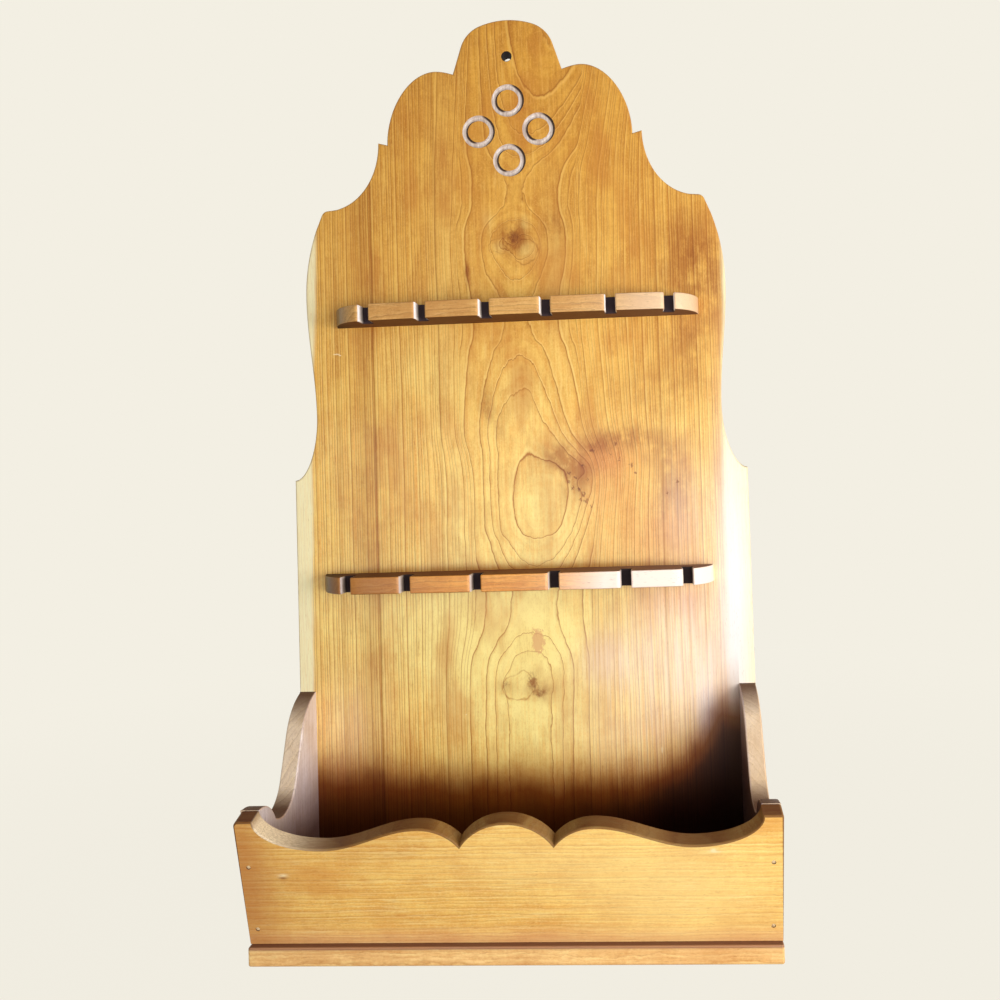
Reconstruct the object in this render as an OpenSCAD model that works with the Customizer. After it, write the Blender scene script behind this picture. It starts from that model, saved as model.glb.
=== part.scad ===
// Wooden wall spoon rack: a scroll-cut back board carries two slotted spoon
// rails and an open tray. The rack also stands on the tray's floor board.
// +X is to the viewer's right, the front faces -Y and +Z is up. Distances
// named reach are measured forward from the back board's front face.

/* [Back board] */
// Width of the back board
board_w = 305; // [290:1:330]
// Thickness of the back board
board_t = 11; // [9:0.5:15]
// Height of the square corner where the straight body ends
body_h = 277.5; // [260:0.5:300]

/* [Back board outline] */
// Rise from the square corner to the waist
waist_rise = 41.5; // [34:0.5:50]
// How far the waist lies inside the board's edge
waist_in = 15.7; // [12:0.1:20]
// Fullness of the cove below the waist
waist_power = 1.85; // [1.6:0.05:2.2]
// Rise from the waist to the widest part of the bulge
bulge_rise = 83; // [70:1:96]
// How far the bulge lies inside the board's edge
bulge_in = 10.3; // [7:0.1:13]
// Radius of the bulge above its widest part
bulge_r = 136; // [120:1:160]
// Rise from the bulge to the lower ear
ear_rise = 59; // [50:1:66]
// Rounding of the lower ear
ear_r = 5; // [3:0.5:8]
// Rise of the cove from the lower ear to the upper ear
cove_rise = 45; // [38:1:52]
// How far the upper ear's tip lies inside the board's edge
tip_in = 62.6; // [58:0.1:68]
// Width of the upper ear's ledge
ledge_w = 6.3; // [5:0.1:9]
// Drop of the ledge from the tip to the shoulder
ledge_drop = 1.7; // [0.5:0.1:3]
// Rise of the shoulder above the ledge
shoulder_rise = 49; // [42:1:56]
// Distance of the shoulder's top from the centre line
shoulder_x = 50; // [46:0.5:54]
// Fullness of the shoulder
shoulder_power = 1.9; // [1.7:0.05:2.3]
// Drop from the shoulder's top to the cusp beside the head
cusp_drop = 2.6; // [1:0.1:5]
// Rise of the head above the cusp
head_rise = 35.4; // [33:0.1:40]
// Radius of the head's crown
crown_r = 52; // [44:1:56]
// Half angle of the head's crown
crown_arc = 20.3; // [17:0.1:22]
// Radius of the head's corners
head_r = 22; // [20:0.5:24]
// Slope of the head's sides from the vertical
head_slope = 17.8; // [14:0.1:20]

/* [Hanging hole and rings] */
// Diameter of the hanging hole
hang_d = 6.5; // [5:0.1:9]
// Drop of the hanging hole from the board's top
hang_drop = 25.4; // [20:0.1:30]
// Drop of the ring group's centre from the board's top
ring_drop = 76; // [72:0.5:84]
// Distance of each ring from the group's centre
ring_spread = 20.4; // [18:0.1:24]
// Radius of the middle of each ring groove
ring_r = 9.2; // [7:0.1:11]
// Radius of the groove's round section
groove_r = 1.6; // [1:0.1:2.2]

/* [Spoon rails] */
// Thickness of both rails
rail_t = 11; // [8:0.5:14]
// Reach of the rails at their middle
rail_reach = 29; // [26:0.5:36]
// Bow of the rail's front between its end curves
rail_bow = 2.4; // [1:0.1:5]
// Radius of the rail's end curves
rail_end_r = 30; // [27:0.5:34]
// Length of the upper rail
upper_len = 244; // [225:1:255]
// Height of the upper rail's underside
upper_z = 380; // [360:1:400]
// Offset of the upper rail from the centre line
upper_shift = 1.5; // [-5:0.1:5]
// Length of the lower rail
lower_len = 260; // [240:1:270]
// Height of the lower rail's underside
lower_z = 203; // [185:1:225]
// Offset of the lower rail from the centre line
lower_shift = -2.5; // [-5:0.1:5]

/* [Spoon slots] */
// Width of every slot
slot_w = 6.3; // [5:0.1:9]
// Depth of every slot from the rail's front
slot_depth = 12; // [9:0.5:15]
// Offset of the upper slots from the centre line
upper_slot_shift = 4.1; // [0:0.1:6]
// Distance of the upper rail's inner slots from their middle
upper_inner = 19.7; // [16:0.1:24]
// Distance of the upper rail's middle slots from their middle
upper_mid = 61.5; // [56:0.1:66]
// Distance of the upper rail's outer slots from their middle
upper_outer = 99.1; // [92:0.1:102]
// Offset of the lower slots from the centre line
lower_slot_shift = -0.9; // [-4:0.1:4]
// Distance of the lower rail's inner slots from their middle
lower_inner = 25; // [20:0.1:30]
// Distance of the lower rail's middle slots from their middle
lower_mid = 71; // [64:0.1:78]
// Distance of the lower rail's outer slots from their middle
lower_outer = 110.4; // [102:0.1:112]

/* [Tray floor and sides] */
// Thickness of the floor board
floor_t = 11; // [9:0.5:14]
// Lip of the floor board in front of the front board's foot
floor_lip = 4.5; // [2:0.5:8]
// Thickness of the side panels
side_t = 11; // [9:0.5:14]
// Height of the side panels at the back board
side_top = 135.3; // [126:0.1:142]
// Radius of the side panel's upper round
side_round_r = 37; // [34:0.5:39]
// How far that round's centre lies behind the back board's face
side_round_back = 7.5; // [5:0.1:10]
// Radius of the side panel's cove
side_cove_r = 23.5; // [21:0.5:25]
// Reach of the cove's lowest point
side_low_reach = 59; // [57:0.5:64]
// Height of the cove's lowest point
side_low = 75; // [71:0.5:79]
// Radius of the nose behind the front board
side_nose_r = 23.6; // [22:0.1:28]
// Run of the flat behind the front board's top
side_flat = 2.6; // [1:0.1:5]

/* [Front board] */
// Thickness of the front board
front_t = 11; // [9:0.5:14]
// Reach of the front board's foot
front_foot = 84; // [80:0.5:92]
// Flare of the front board from the vertical
front_flare = 15; // [11:0.5:19]
// Height of the front board along its slope
front_h = 80; // [76:0.5:86]
// Width of the flat at each end of the front board's top
end_flat = 11.2; // [8:0.1:16]
// Width of the end coves
end_cove_w = 37.3; // [32:0.1:42]
// Drop of the end coves below the flats
end_cove_drop = 18; // [14:0.1:21]
// Width of each wave between its low and its crest
wave_w = 55; // [48:0.5:58]
// Rise of each wave from its low to its crest
wave_rise = 12.3; // [9:0.1:15]
// Radius of each wave beside the middle lobe
wave_r = 28.5; // [26:0.5:34]
// Half width of the middle lobe
lobe_half = 26.4; // [24:0.1:29]
// Rise of the middle lobe above its cusps
lobe_rise = 14.3; // [11:0.1:17]

/* [Screws and brads] */
// Head diameter of the countersunk screws
screw_head_d = 7; // [6:0.1:8]
// Shank diameter of the screws
screw_d = 3.5; // [3:0.1:4.2]
// Length of the screws
screw_len = 27; // [24:0.5:30]
// Width of the screwdriver slot
driver_w = 1.2; // [0.8:0.1:1.6]
// Depth of the screwdriver slot
driver_depth = 1.3; // [0.8:0.1:1.6]
// Gap between a screw and the wood on each side
screw_gap = 0.1; // [0.05:0.01:0.2]
// How far screw and brad heads lie under the surface
head_sink = 0.3; // [0.1:0.1:0.6]
// Head diameter of the brads
brad_head_d = 2.4; // [2:0.1:3]
// Thickness of a brad's head
brad_head_t = 0.8; // [0.5:0.1:1.2]
// Shank diameter of the brads
brad_d = 1.6; // [1.2:0.1:2]
// Length of the brads
brad_len = 25; // [20:0.5:27]
// Gap between a brad and the wood on each side
brad_gap = 0.06; // [0.03:0.01:0.1]
// Distance of the rail screws on each side of the rail's middle
rail_screw_x = 80; // [76:0.5:85]
// Height of the lower screw in each side panel
side_screw_low = 38; // [34:1:46]
// Distance between the two screws in each side panel
side_screw_pitch = 68; // [55:1:72]
// Distance of the floor's outer screws from the centre line
floor_screw_x = 100; // [80:1:120]
// Height of the lower front brads along the front board
front_brad_low = 10; // [8:0.5:14]
// Distance between the two front brads at each end
front_brad_pitch = 41; // [34:0.5:46]
// Reach of the rearmost brad under each side panel
floor_brad_reach = 12; // [9:0.5:16]
// Distance between the brads under each side panel
floor_brad_pitch = 21; // [16:0.5:22]
// Distance of the outer brads under the front board from the centre line
foot_brad_x = 70; // [50:1:100]

/* [Hidden] */
$fn = 48;

wood = "#d8a55a";
rail_wood = "#c9904c";
steel = "#b9b6ad";
brad_steel = "#8d7b60";

// Levels of the back board's outline
half = board_w / 2;
waist_z = body_h + waist_rise;
bulge_z = waist_z + bulge_rise;
ear_z = bulge_z + ear_rise;
tip_z = ear_z + cove_rise;
ledge_z = tip_z - ledge_drop;
shoulder_z = ledge_z + shoulder_rise;
cusp_z = shoulder_z - cusp_drop;
board_h = cusp_z + head_rise;

// The front board turns about its front foot edge and decides the rack's depth
front_top_reach = front_foot + front_h * sin(front_flare);
depth = front_top_reach + board_t;
face_y = depth / 2 - board_t;
back_y = face_y + board_t;
front_back_foot = front_foot - front_t / cos(front_flare);
front_back_top = front_top_reach - front_t * cos(front_flare);
front_back_top_z = floor_t + front_h * cos(front_flare) + front_t * sin(front_flare);
panel_x = half - side_t / 2;

// Extra length of a cutting solid past the surface that it opens
past = 1;

function signed_pow(v, e) = sign(v) * pow(abs(v), e);
function arc(cx, cz, rx, rz, a0, a1, n) =
    [for (i = [0:n]) let (a = a0 + (a1 - a0) * i / n) [cx + rx * cos(a), cz + rz * sin(a)]];
function full_arc(cx, cz, rx, rz, power, a0, a1, n) =
    [for (i = [0:n]) let (a = a0 + (a1 - a0) * i / n)
        [cx + rx * signed_pow(cos(a), 2 / power), cz + rz * signed_pow(sin(a), 2 / power)]];
// Half outline that ends on the centre line, with its mirror image
function both_sides(pts) =
    concat(pts, [for (i = [len(pts) - 2:-1:0]) [-pts[i][0], pts[i][1]]]);

// Right edge of the back board from its foot to its crown
bulge_x = half - bulge_in;
waist_x = half - waist_in;
tip_x = half - tip_in;
ear_angle = asin((ear_rise - ear_r) / (bulge_r - ear_r));
ear_x = bulge_x - bulge_r + (bulge_r - ear_r) * cos(ear_angle);
waist_cove = full_arc(half, waist_z, waist_in, waist_rise, waist_power, 270, 180, 10);
waist_sweep = [for (i = [1:11]) [waist_x + (bulge_x - waist_x) * (1 - cos(15 * i)) / 2,
    waist_z + bulge_rise * i / 12]];
bulge = arc(bulge_x - bulge_r, bulge_z, bulge_r, bulge_r, 0, ear_angle, 6);
ear = arc(ear_x, ear_z - ear_r, ear_r, ear_r, ear_angle, 90, 5);
ear_cove = arc(ear_x, tip_z, ear_x - tip_x, cove_rise, 270, 180, 12);
shoulder = full_arc(shoulder_x, ledge_z, tip_x - ledge_w - shoulder_x, shoulder_rise,
    shoulder_power, 0, 90, 12);

crown = arc(0, board_h - crown_r, crown_r, crown_r, 90 - crown_arc, 90, 4);
head_x = (crown_r - head_r) * sin(crown_arc);
head_z = board_h - crown_r + (crown_r - head_r) * cos(crown_arc);
head_corner = arc(head_x, head_z, head_r, head_r, head_slope, 90 - crown_arc, 8);
cusp_x = head_corner[0][0] + (head_corner[0][1] - cusp_z) * tan(head_slope);
shoulder_back = [for (i = [5:-1:1]) [cusp_x + (shoulder_x - cusp_x) * i / 6,
    cusp_z + cusp_drop * sin(15 * i)]];

right_edge = concat([[half, 0]], waist_cove, waist_sweep, bulge, ear, ear_cove,
    shoulder, shoulder_back, [[cusp_x, cusp_z]], head_corner, crown);

// Plan of a rail: two end curves joined by a shallow bow
end_back = rail_end_r + rail_bow - rail_reach;
function end_x(length) = length / 2 - sqrt(rail_end_r * rail_end_r - end_back * end_back);
function bow_r(length) = (pow(end_x(length), 2) + pow(rail_end_r + rail_bow, 2)
    - pow(rail_end_r, 2)) / (2 * rail_bow);
function bow_angle(length) = asin(end_x(length) / (bow_r(length) - rail_end_r));
function bow_end(length) = bow_r(length) * sin(bow_angle(length));
function rail_front(x, length) = abs(x) < bow_end(length)
    ? rail_reach - bow_r(length) + sqrt(pow(bow_r(length), 2) - x * x)
    : sqrt(pow(rail_end_r, 2) - pow(abs(x) - end_x(length), 2)) - end_back;
function rail_plan(length) = let (r = bow_r(length), a = bow_angle(length)) both_sides(concat(
    arc(end_x(length), -end_back, rail_end_r, rail_end_r, asin(end_back / rail_end_r), 90 - a, 10),
    arc(0, rail_reach - r, r, r, 90 - a * 4 / 5, 90, 4)));

upper_slots = [for (d = [-upper_outer, -upper_mid, -upper_inner, upper_inner, upper_mid, upper_outer])
    upper_slot_shift + d];
lower_slots = [for (d = [-lower_outer, -lower_mid, -lower_inner, lower_inner, lower_mid, lower_outer])
    lower_slot_shift + d];
rail_screws = [-rail_screw_x, 0, rail_screw_x];

// Side panel profile as reach and height: an ogee, a cove and a nose
round_z = side_top - sqrt(side_round_r * side_round_r - side_round_back * side_round_back);
cove_z = side_low + side_cove_r;
ogee_run = side_low_reach + side_round_back;
ogee_dist = sqrt(ogee_run * ogee_run + pow(cove_z - round_z, 2));
ogee_angle = atan2(cove_z - round_z, ogee_run)
    + acos(min(1, (side_round_r + side_cove_r) / ogee_dist));
nose_reach = front_back_top - side_flat;
nose_z = front_back_top_z - side_nose_r;
nose_dist = sqrt(pow(nose_reach - side_low_reach, 2) + pow(nose_z - cove_z, 2));
nose_line = atan2(nose_z - cove_z, nose_reach - side_low_reach);
cove_turn = acos(min(1, (nose_dist * nose_dist + side_cove_r * side_cove_r
    - side_nose_r * side_nose_r) / (2 * nose_dist * side_cove_r)));
nose_turn = acos(min(1, (nose_dist * nose_dist + side_nose_r * side_nose_r
    - side_cove_r * side_cove_r) / (2 * nose_dist * side_nose_r)));
side_profile = concat(
    [[0, floor_t]],
    arc(-side_round_back, round_z, side_round_r, side_round_r,
        acos(side_round_back / side_round_r), ogee_angle, 10),
    arc(side_low_reach, cove_z, side_cove_r, side_cove_r,
        180 + ogee_angle, 360 + nose_line - cove_turn, 12),
    arc(nose_reach, nose_z, side_nose_r, side_nose_r, 180 + nose_line + nose_turn, 90, 8),
    [[front_back_top, front_back_top_z], [front_back_foot, floor_t]]);

// Front board's scroll as distance from the centre line and height on the slope
cove_low_x = half - end_flat - end_cove_w;
cove_low = front_h - end_cove_drop;
crest_x = cove_low_x - wave_w;
crest = cove_low + wave_rise;
wave_end = crest - wave_r + sqrt(wave_r * wave_r - pow(crest_x - lobe_half, 2));
lobe_r = (lobe_half * lobe_half + lobe_rise * lobe_rise) / (2 * lobe_rise);
lobe_angle = asin(lobe_half / lobe_r);
scroll = concat(
    [[half, front_h]],
    arc(cove_low_x, front_h, end_cove_w, end_cove_drop, 360, 270, 12),
    [for (i = [1:11]) [cove_low_x - wave_w * i / 12, cove_low + wave_rise * (1 - cos(15 * i)) / 2]],
    arc(crest_x, crest - wave_r, wave_r, wave_r, 90, 180 - acos((crest_x - lobe_half) / wave_r), 6),
    arc(0, wave_end + lobe_rise - lobe_r, lobe_r, lobe_r, 90 - lobe_angle * 5 / 6, 90, 5));

module board_solid() {
    translate([0, back_y, 0])
        rotate([90, 0, 0])
            linear_extrude(board_t)
                polygon(both_sides(right_edge));
}

// Screw with its head's top at the origin and its tip along +Z
module screw() {
    cone = (screw_head_d - screw_d) / 2;
    tip = screw_d / 2;
    difference() {
        rotate_extrude()
            polygon([[0, head_sink], [screw_head_d / 2, head_sink], [screw_d / 2, head_sink + cone],
                [screw_d / 2, screw_len - tip], [0, screw_len]]);
        translate([-screw_head_d / 2, -driver_w / 2, head_sink - past])
            cube([screw_head_d, driver_w, past + driver_depth]);
    }
}

module screw_hole() {
    cone = (screw_head_d - screw_d) / 2;
    hole_r = screw_d / 2 + screw_gap;
    rotate_extrude()
        polygon([[0, -past], [screw_head_d / 2 + screw_gap, -past],
            [screw_head_d / 2 + screw_gap, head_sink], [hole_r, head_sink + cone],
            [hole_r, screw_len + screw_gap], [0, screw_len + screw_gap]]);
}

// Brad with its head's top at the origin and its tip along +Z
module brad() {
    rotate_extrude()
        polygon([[0, head_sink], [brad_head_d / 2, head_sink],
            [brad_head_d / 2, head_sink + brad_head_t], [brad_d / 2, head_sink + brad_head_t],
            [brad_d / 2, brad_len - brad_d], [0, brad_len]]);
}

module brad_hole() {
    hole_r = brad_d / 2 + brad_gap;
    head_r1 = brad_head_d / 2 + brad_gap;
    rotate_extrude()
        polygon([[0, -past], [head_r1, -past], [head_r1, head_sink + brad_head_t],
            [hole_r, head_sink + brad_head_t], [hole_r, brad_len + brad_gap],
            [0, brad_len + brad_gap]]);
}

// Children are placed on the back board's rear face, pointing forward
module from_behind(x, z) {
    translate([x, back_y, z]) rotate([90, 0, 0]) children();
}

// Children are placed on the front board's face, pointing into it
module from_front(x, height) {
    translate([0, face_y - front_foot, floor_t])
        rotate([front_flare, 0, 0])
            translate([x, 0, height])
                rotate([-90, 0, 0]) children();
}

// Children are placed under the floor board, pointing up
module from_below(x, reach) {
    translate([x, face_y - reach, 0]) children();
}

module upper_screw_places() {
    for (x = rail_screws) from_behind(upper_shift + x, upper_z + rail_t / 2) children();
}

module lower_screw_places() {
    for (x = rail_screws) from_behind(lower_shift + x, lower_z + rail_t / 2) children();
}

module side_screw_places(side) {
    for (i = [0, 1]) from_behind(side * panel_x, side_screw_low + i * side_screw_pitch) children();
}

module floor_screw_places() {
    for (x = [-floor_screw_x, 0, floor_screw_x]) from_behind(x, floor_t / 2) children();
}

module front_brad_places(side) {
    for (i = [0, 1]) from_front(side * panel_x, front_brad_low + i * front_brad_pitch) children();
}

module floor_brad_places(side) {
    for (i = [0:2]) from_below(side * panel_x, floor_brad_reach + i * floor_brad_pitch) children();
}

module foot_brad_places() {
    for (x = [-foot_brad_x, 0, foot_brad_x])
        from_below(x, (front_foot + front_back_foot) / 2) children();
}

module back_board() {
    color(wood)
        difference() {
            board_solid();
            translate([0, back_y + past, board_h - hang_drop])
                rotate([90, 0, 0]) cylinder(d = hang_d, h = board_t + 2 * past);
            for (a = [0:90:270])
                translate([ring_spread * cos(a), face_y, board_h - ring_drop + ring_spread * sin(a)])
                    rotate([90, 0, 0])
                        rotate_extrude() translate([ring_r, 0]) circle(r = groove_r, $fn = 24);
            upper_screw_places() screw_hole();
            lower_screw_places() screw_hole();
            side_screw_places(-1) screw_hole();
            side_screw_places(1) screw_hole();
            floor_screw_places() screw_hole();
        }
}

module rail(length, slots, shift) {
    difference() {
        translate([shift, face_y, 0])
            mirror([0, 1, 0])
                linear_extrude(rail_t) polygon(rail_plan(length));
        for (x = slots)
            translate([x - slot_w / 2, face_y - rail_reach - past, -past])
                cube([slot_w, rail_reach - rail_front(x - shift, length) + slot_depth + past,
                    rail_t + 2 * past]);
    }
}

module upper_rail() {
    color(rail_wood)
        difference() {
            translate([0, 0, upper_z]) rail(upper_len, upper_slots, upper_shift);
            upper_screw_places() screw_hole();
        }
}

module lower_rail() {
    color(rail_wood)
        difference() {
            translate([0, 0, lower_z]) rail(lower_len, lower_slots, lower_shift);
            lower_screw_places() screw_hole();
        }
}

module side_panel(side) {
    color(wood)
        difference() {
            translate([side * panel_x - side_t / 2, face_y, 0])
                rotate([90, 0, 90])
                    linear_extrude(side_t) polygon([for (q = side_profile) [-q[0], q[1]]]);
            side_screw_places(side) screw_hole();
            front_brad_places(side) brad_hole();
            floor_brad_places(side) brad_hole();
        }
}

module side_left() {
    side_panel(-1);
}

module side_right() {
    side_panel(1);
}

module front_board() {
    under = front_t * tan(front_flare) + past;
    color(wood)
        difference() {
            translate([0, face_y - front_foot, floor_t])
                rotate([front_flare, 0, 0])
                    translate([0, front_t, 0])
                        rotate([90, 0, 0])
                            linear_extrude(front_t)
                                polygon(both_sides(concat([[half, -under]], scroll)));
            translate([-half - past, face_y - front_top_reach - past, floor_t - 2 * under])
                cube([board_w + 2 * past, front_top_reach + past, 2 * under]);
            front_brad_places(-1) brad_hole();
            front_brad_places(1) brad_hole();
            foot_brad_places() brad_hole();
        }
}

module floor_board() {
    reach = front_foot + floor_lip;
    color(wood)
        difference() {
            translate([-half, face_y - reach, 0]) cube([board_w, reach, floor_t]);
            floor_screw_places() screw_hole();
            floor_brad_places(-1) brad_hole();
            floor_brad_places(1) brad_hole();
            foot_brad_places() brad_hole();
        }
}

module upper_rail_screws() {
    color(steel) upper_screw_places() screw();
}

module lower_rail_screws() {
    color(steel) lower_screw_places() screw();
}

module side_screws_left() {
    color(steel) side_screw_places(-1) screw();
}

module side_screws_right() {
    color(steel) side_screw_places(1) screw();
}

module floor_screws() {
    color(steel) floor_screw_places() screw();
}

module front_brads_left() {
    color(brad_steel) front_brad_places(-1) brad();
}

module front_brads_right() {
    color(brad_steel) front_brad_places(1) brad();
}

module floor_brads_left() {
    color(brad_steel) floor_brad_places(-1) brad();
}

module floor_brads_right() {
    color(brad_steel) floor_brad_places(1) brad();
}

module foot_brads() {
    color(brad_steel) foot_brad_places() brad();
}

back_board();
upper_rail();
lower_rail();
side_left();
side_right();
front_board();
floor_board();
upper_rail_screws();
lower_rail_screws();
side_screws_left();
side_screws_right();
floor_screws();
front_brads_left();
front_brads_right();
floor_brads_left();
floor_brads_right();
foot_brads();
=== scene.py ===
import math

import bpy
import bmesh
import numpy as np
from mathutils import Matrix, Vector
from mathutils.geometry import delaunay_2d_cdt


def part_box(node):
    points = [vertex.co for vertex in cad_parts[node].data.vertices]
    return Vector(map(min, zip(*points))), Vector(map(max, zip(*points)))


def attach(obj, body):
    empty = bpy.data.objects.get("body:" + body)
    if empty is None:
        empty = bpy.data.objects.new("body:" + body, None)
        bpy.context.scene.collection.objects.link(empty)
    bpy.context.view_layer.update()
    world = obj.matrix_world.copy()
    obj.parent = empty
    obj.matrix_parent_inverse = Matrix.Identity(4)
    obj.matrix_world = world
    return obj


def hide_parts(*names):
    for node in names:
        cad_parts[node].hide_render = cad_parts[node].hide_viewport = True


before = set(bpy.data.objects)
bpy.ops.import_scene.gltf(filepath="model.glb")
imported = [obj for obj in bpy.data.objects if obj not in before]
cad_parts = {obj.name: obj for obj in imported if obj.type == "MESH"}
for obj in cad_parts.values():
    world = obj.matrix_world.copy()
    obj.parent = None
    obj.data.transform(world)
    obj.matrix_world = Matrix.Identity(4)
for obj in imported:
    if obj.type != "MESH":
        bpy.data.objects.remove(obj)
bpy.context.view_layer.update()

mm = 0.001
scene = bpy.context.scene
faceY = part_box("back_board")[0].y      # front face of the back board
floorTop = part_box("floor_board")[1].z  # top of the floor board
thickness = 11.0                       # of the boards, in mm


def linked(name, data):
    made = bpy.data.objects.new(name, data)
    scene.collection.objects.link(made)
    return made


# The camera stands where the photograph was taken.

view = {
    "place": (0.0786, -0.5532, 0.2766),
    "yaw": -0.04905, "pitch": 0.02581, "roll": -0.03157,
    "focal": 0.89992,              # focal length as a share of the picture's width
    "centre": (0.59121, 0.44973),  # where the optical axis meets the picture, from its top left
    "sensor": 36.0,
}


def makeCamera():
    yaw, pitch, roll = view["yaw"], view["pitch"], view["roll"]
    ahead = Vector((math.sin(yaw) * math.cos(pitch), math.cos(yaw) * math.cos(pitch), math.sin(pitch)))
    level = Vector((math.cos(yaw), -math.sin(yaw), 0))
    over = level.cross(ahead)
    right = level * math.cos(roll) + over * math.sin(roll)
    up = over * math.cos(roll) - level * math.sin(roll)
    data = bpy.data.cameras.new("photoCamera")
    data.sensor_width = view["sensor"]
    data.lens = view["focal"] * view["sensor"]
    data.shift_x = 0.5 - view["centre"][0]
    data.shift_y = view["centre"][1] - 0.5
    data.clip_start, data.clip_end = 0.01, 20
    camera = linked("photoCamera", data)
    turn = Matrix((right, up, -ahead)).transposed()
    camera.matrix_world = Matrix.Translation(view["place"]) @ turn.to_4x4()
    scene.camera = camera


makeCamera()
print("camera placed")

# Small helpers for node trees. A Wire is an output that can be reckoned with: an operator adds a math node.


class Wire:
    def __init__(self, socket):
        self.socket = socket

    def __add__(self, other):
        return calc("ADD", self, other)

    def __sub__(self, other):
        return calc("SUBTRACT", self, other)

    def __mul__(self, other):
        return calc("MULTIPLY", self, other)

    def __truediv__(self, other):
        return calc("DIVIDE", self, other)


def srgb(red, green, blue):
    parts = [c / 255 for c in (red, green, blue)]
    return tuple(c / 12.92 if c <= 0.04 else ((c + 0.055) / 1.055) ** 2.4 for c in parts) + (1.0,)


def plug(socket, value):
    if isinstance(value, Wire):
        socket.id_data.links.new(value.socket, socket)
    else:
        socket.default_value = value


def addNode(tree, kind, inputs=None, output=0, **settings):
    node = tree.nodes.new(kind)
    for name, value in settings.items():
        setattr(node, name, value)
    for name, value in (inputs or {}).items():
        plug(node.inputs[name], value)
    return Wire(node.outputs[output]) if node.outputs else None


def treeOf(*values):
    return next(value.socket.id_data for value in values if isinstance(value, Wire))


def wiresOf(sockets):
    return {socket.name: Wire(socket) for socket in sockets}


def calc(operation, *values):
    return addNode(treeOf(*values), "ShaderNodeMath", dict(enumerate(values)), operation=operation)


def clamped(result):
    # keeps the result of a math node between 0 and 1
    result.socket.node.use_clamp = True
    return result


def vectorCalc(operation, *values):
    tree, output = treeOf(*values), "Value" if operation in ("LENGTH", "DOT_PRODUCT") else "Vector"
    return addNode(tree, "ShaderNodeVectorMath", dict(enumerate(values)), output, operation=operation)


def separate(vector):
    first = addNode(treeOf(vector), "ShaderNodeSeparateXYZ", {0: vector})
    return [Wire(output) for output in first.socket.node.outputs]


def combine(x, y, z):
    return addNode(treeOf(x, y, z), "ShaderNodeCombineXYZ", {0: x, 1: y, 2: z})


def mixColour(share, first, second, mode="MIX"):
    inputs = {0: share, 6: first, 7: second}
    tree = treeOf(share, first, second)
    return addNode(tree, "ShaderNodeMix", inputs, 2, data_type="RGBA", blend_type=mode)


def darkened(share, colour, dirt):
    return mixColour(share, colour, mixColour(1.0, colour, dirt, "MULTIPLY"))


def remap(value, low, high, outLow=0.0, outHigh=1.0, kind="SMOOTHSTEP"):
    inputs = dict(enumerate((value, low, high, outLow, outHigh)))
    return addNode(treeOf(value), "ShaderNodeMapRange", inputs, interpolation_type=kind, clamp=True)


def linear(value, low, high, outLow=0.0, outHigh=1.0):
    return remap(value, low, high, outLow, outHigh, "LINEAR")


def noise(vector, sizes, shift=0.0, detail=2.0, rough=0.5, distortion=0.0):
    # the sizes are those of one step of the pattern, in the unit of the vector
    scaled = vectorCalc("MULTIPLY", vector, tuple(1 / size for size in sizes))
    moved = vectorCalc("ADD", scaled, (shift, shift * 0.7, shift * 1.3))
    inputs = {"Vector": moved, "Scale": 1.0, "Detail": detail, "Roughness": rough, "Distortion": distortion}
    return addNode(treeOf(vector), "ShaderNodeTexNoise", inputs)


def throughCurve(value, points):
    # a smooth curve through pairs of place and value
    places, values = zip(*points)
    start, end, low, high = places[0], places[-1], min(values), max(values)
    result = addNode(treeOf(value), "ShaderNodeFloatCurve", {"Value": linear(value, start, end)})
    mapping = result.socket.node.mapping
    knots = mapping.curves[0].points
    marks = [((p - start) / (end - start), (v - low) / (high - low)) for p, v in points]
    knots[0].location, knots[1].location = marks[0], marks[-1]
    for mark in marks[1:-1]:
        knots.new(*mark)
    for knot in knots:
        knot.handle_type = "AUTO_CLAMPED"
    mapping.update()
    return linear(result, 0.0, 1.0, low, high)


def attribute(tree, name):
    return addNode(tree, "ShaderNodeAttribute", output="Fac", attribute_name=name)


def millimetres(tree, origin=(0, 0, 0)):
    # the point on the piece, in millimetres from an origin
    place = vectorCalc("SUBTRACT", addNode(tree, "ShaderNodeTexCoord", output="Object"), origin)
    return addNode(tree, "ShaderNodeVectorMath", {0: place, "Scale": 1 / mm}, operation="SCALE")


def makeGroup(name, inputs, outputs):
    # inputs are vectors or numbers with their first values, and outputs are numbers
    tree = bpy.data.node_groups.new(name, "ShaderNodeTree")
    for title, value in inputs.items():
        kind = "NodeSocketVector" if isinstance(value, tuple) else "NodeSocketFloat"
        tree.interface.new_socket(name=title, in_out="INPUT", socket_type=kind).default_value = value
    for title in outputs:
        tree.interface.new_socket(name=title, in_out="OUTPUT", socket_type="NodeSocketFloat")
    return tree, wiresOf(tree.nodes.new("NodeGroupInput").outputs), tree.nodes.new("NodeGroupOutput").inputs


def useGroup(group, inputs):
    first = addNode(treeOf(*inputs.values()), "ShaderNodeGroup", inputs, node_tree=group)
    return wiresOf(first.socket.node.outputs)


def newMaterial(name):
    material = bpy.data.materials.new(name)
    material.use_nodes = True
    material.node_tree.nodes.clear()
    return material, material.node_tree


def endMaterial(tree, colour, rough, relief, others):
    # relief is a height, its strength and its depth in millimetres
    height, strength, depth = relief
    bump = addNode(tree, "ShaderNodeBump", {"Height": height, "Strength": strength, "Distance": depth * mm})
    shader = addNode(tree, "ShaderNodeBsdfPrincipled", {
        "Base Color": colour, "Roughness": rough, "Normal": bump, **others})
    addNode(tree, "ShaderNodeOutputMaterial", {"Surface": shader})


# Shader groups that the woods share. Positions are in millimetres, with z along the grain.


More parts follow.
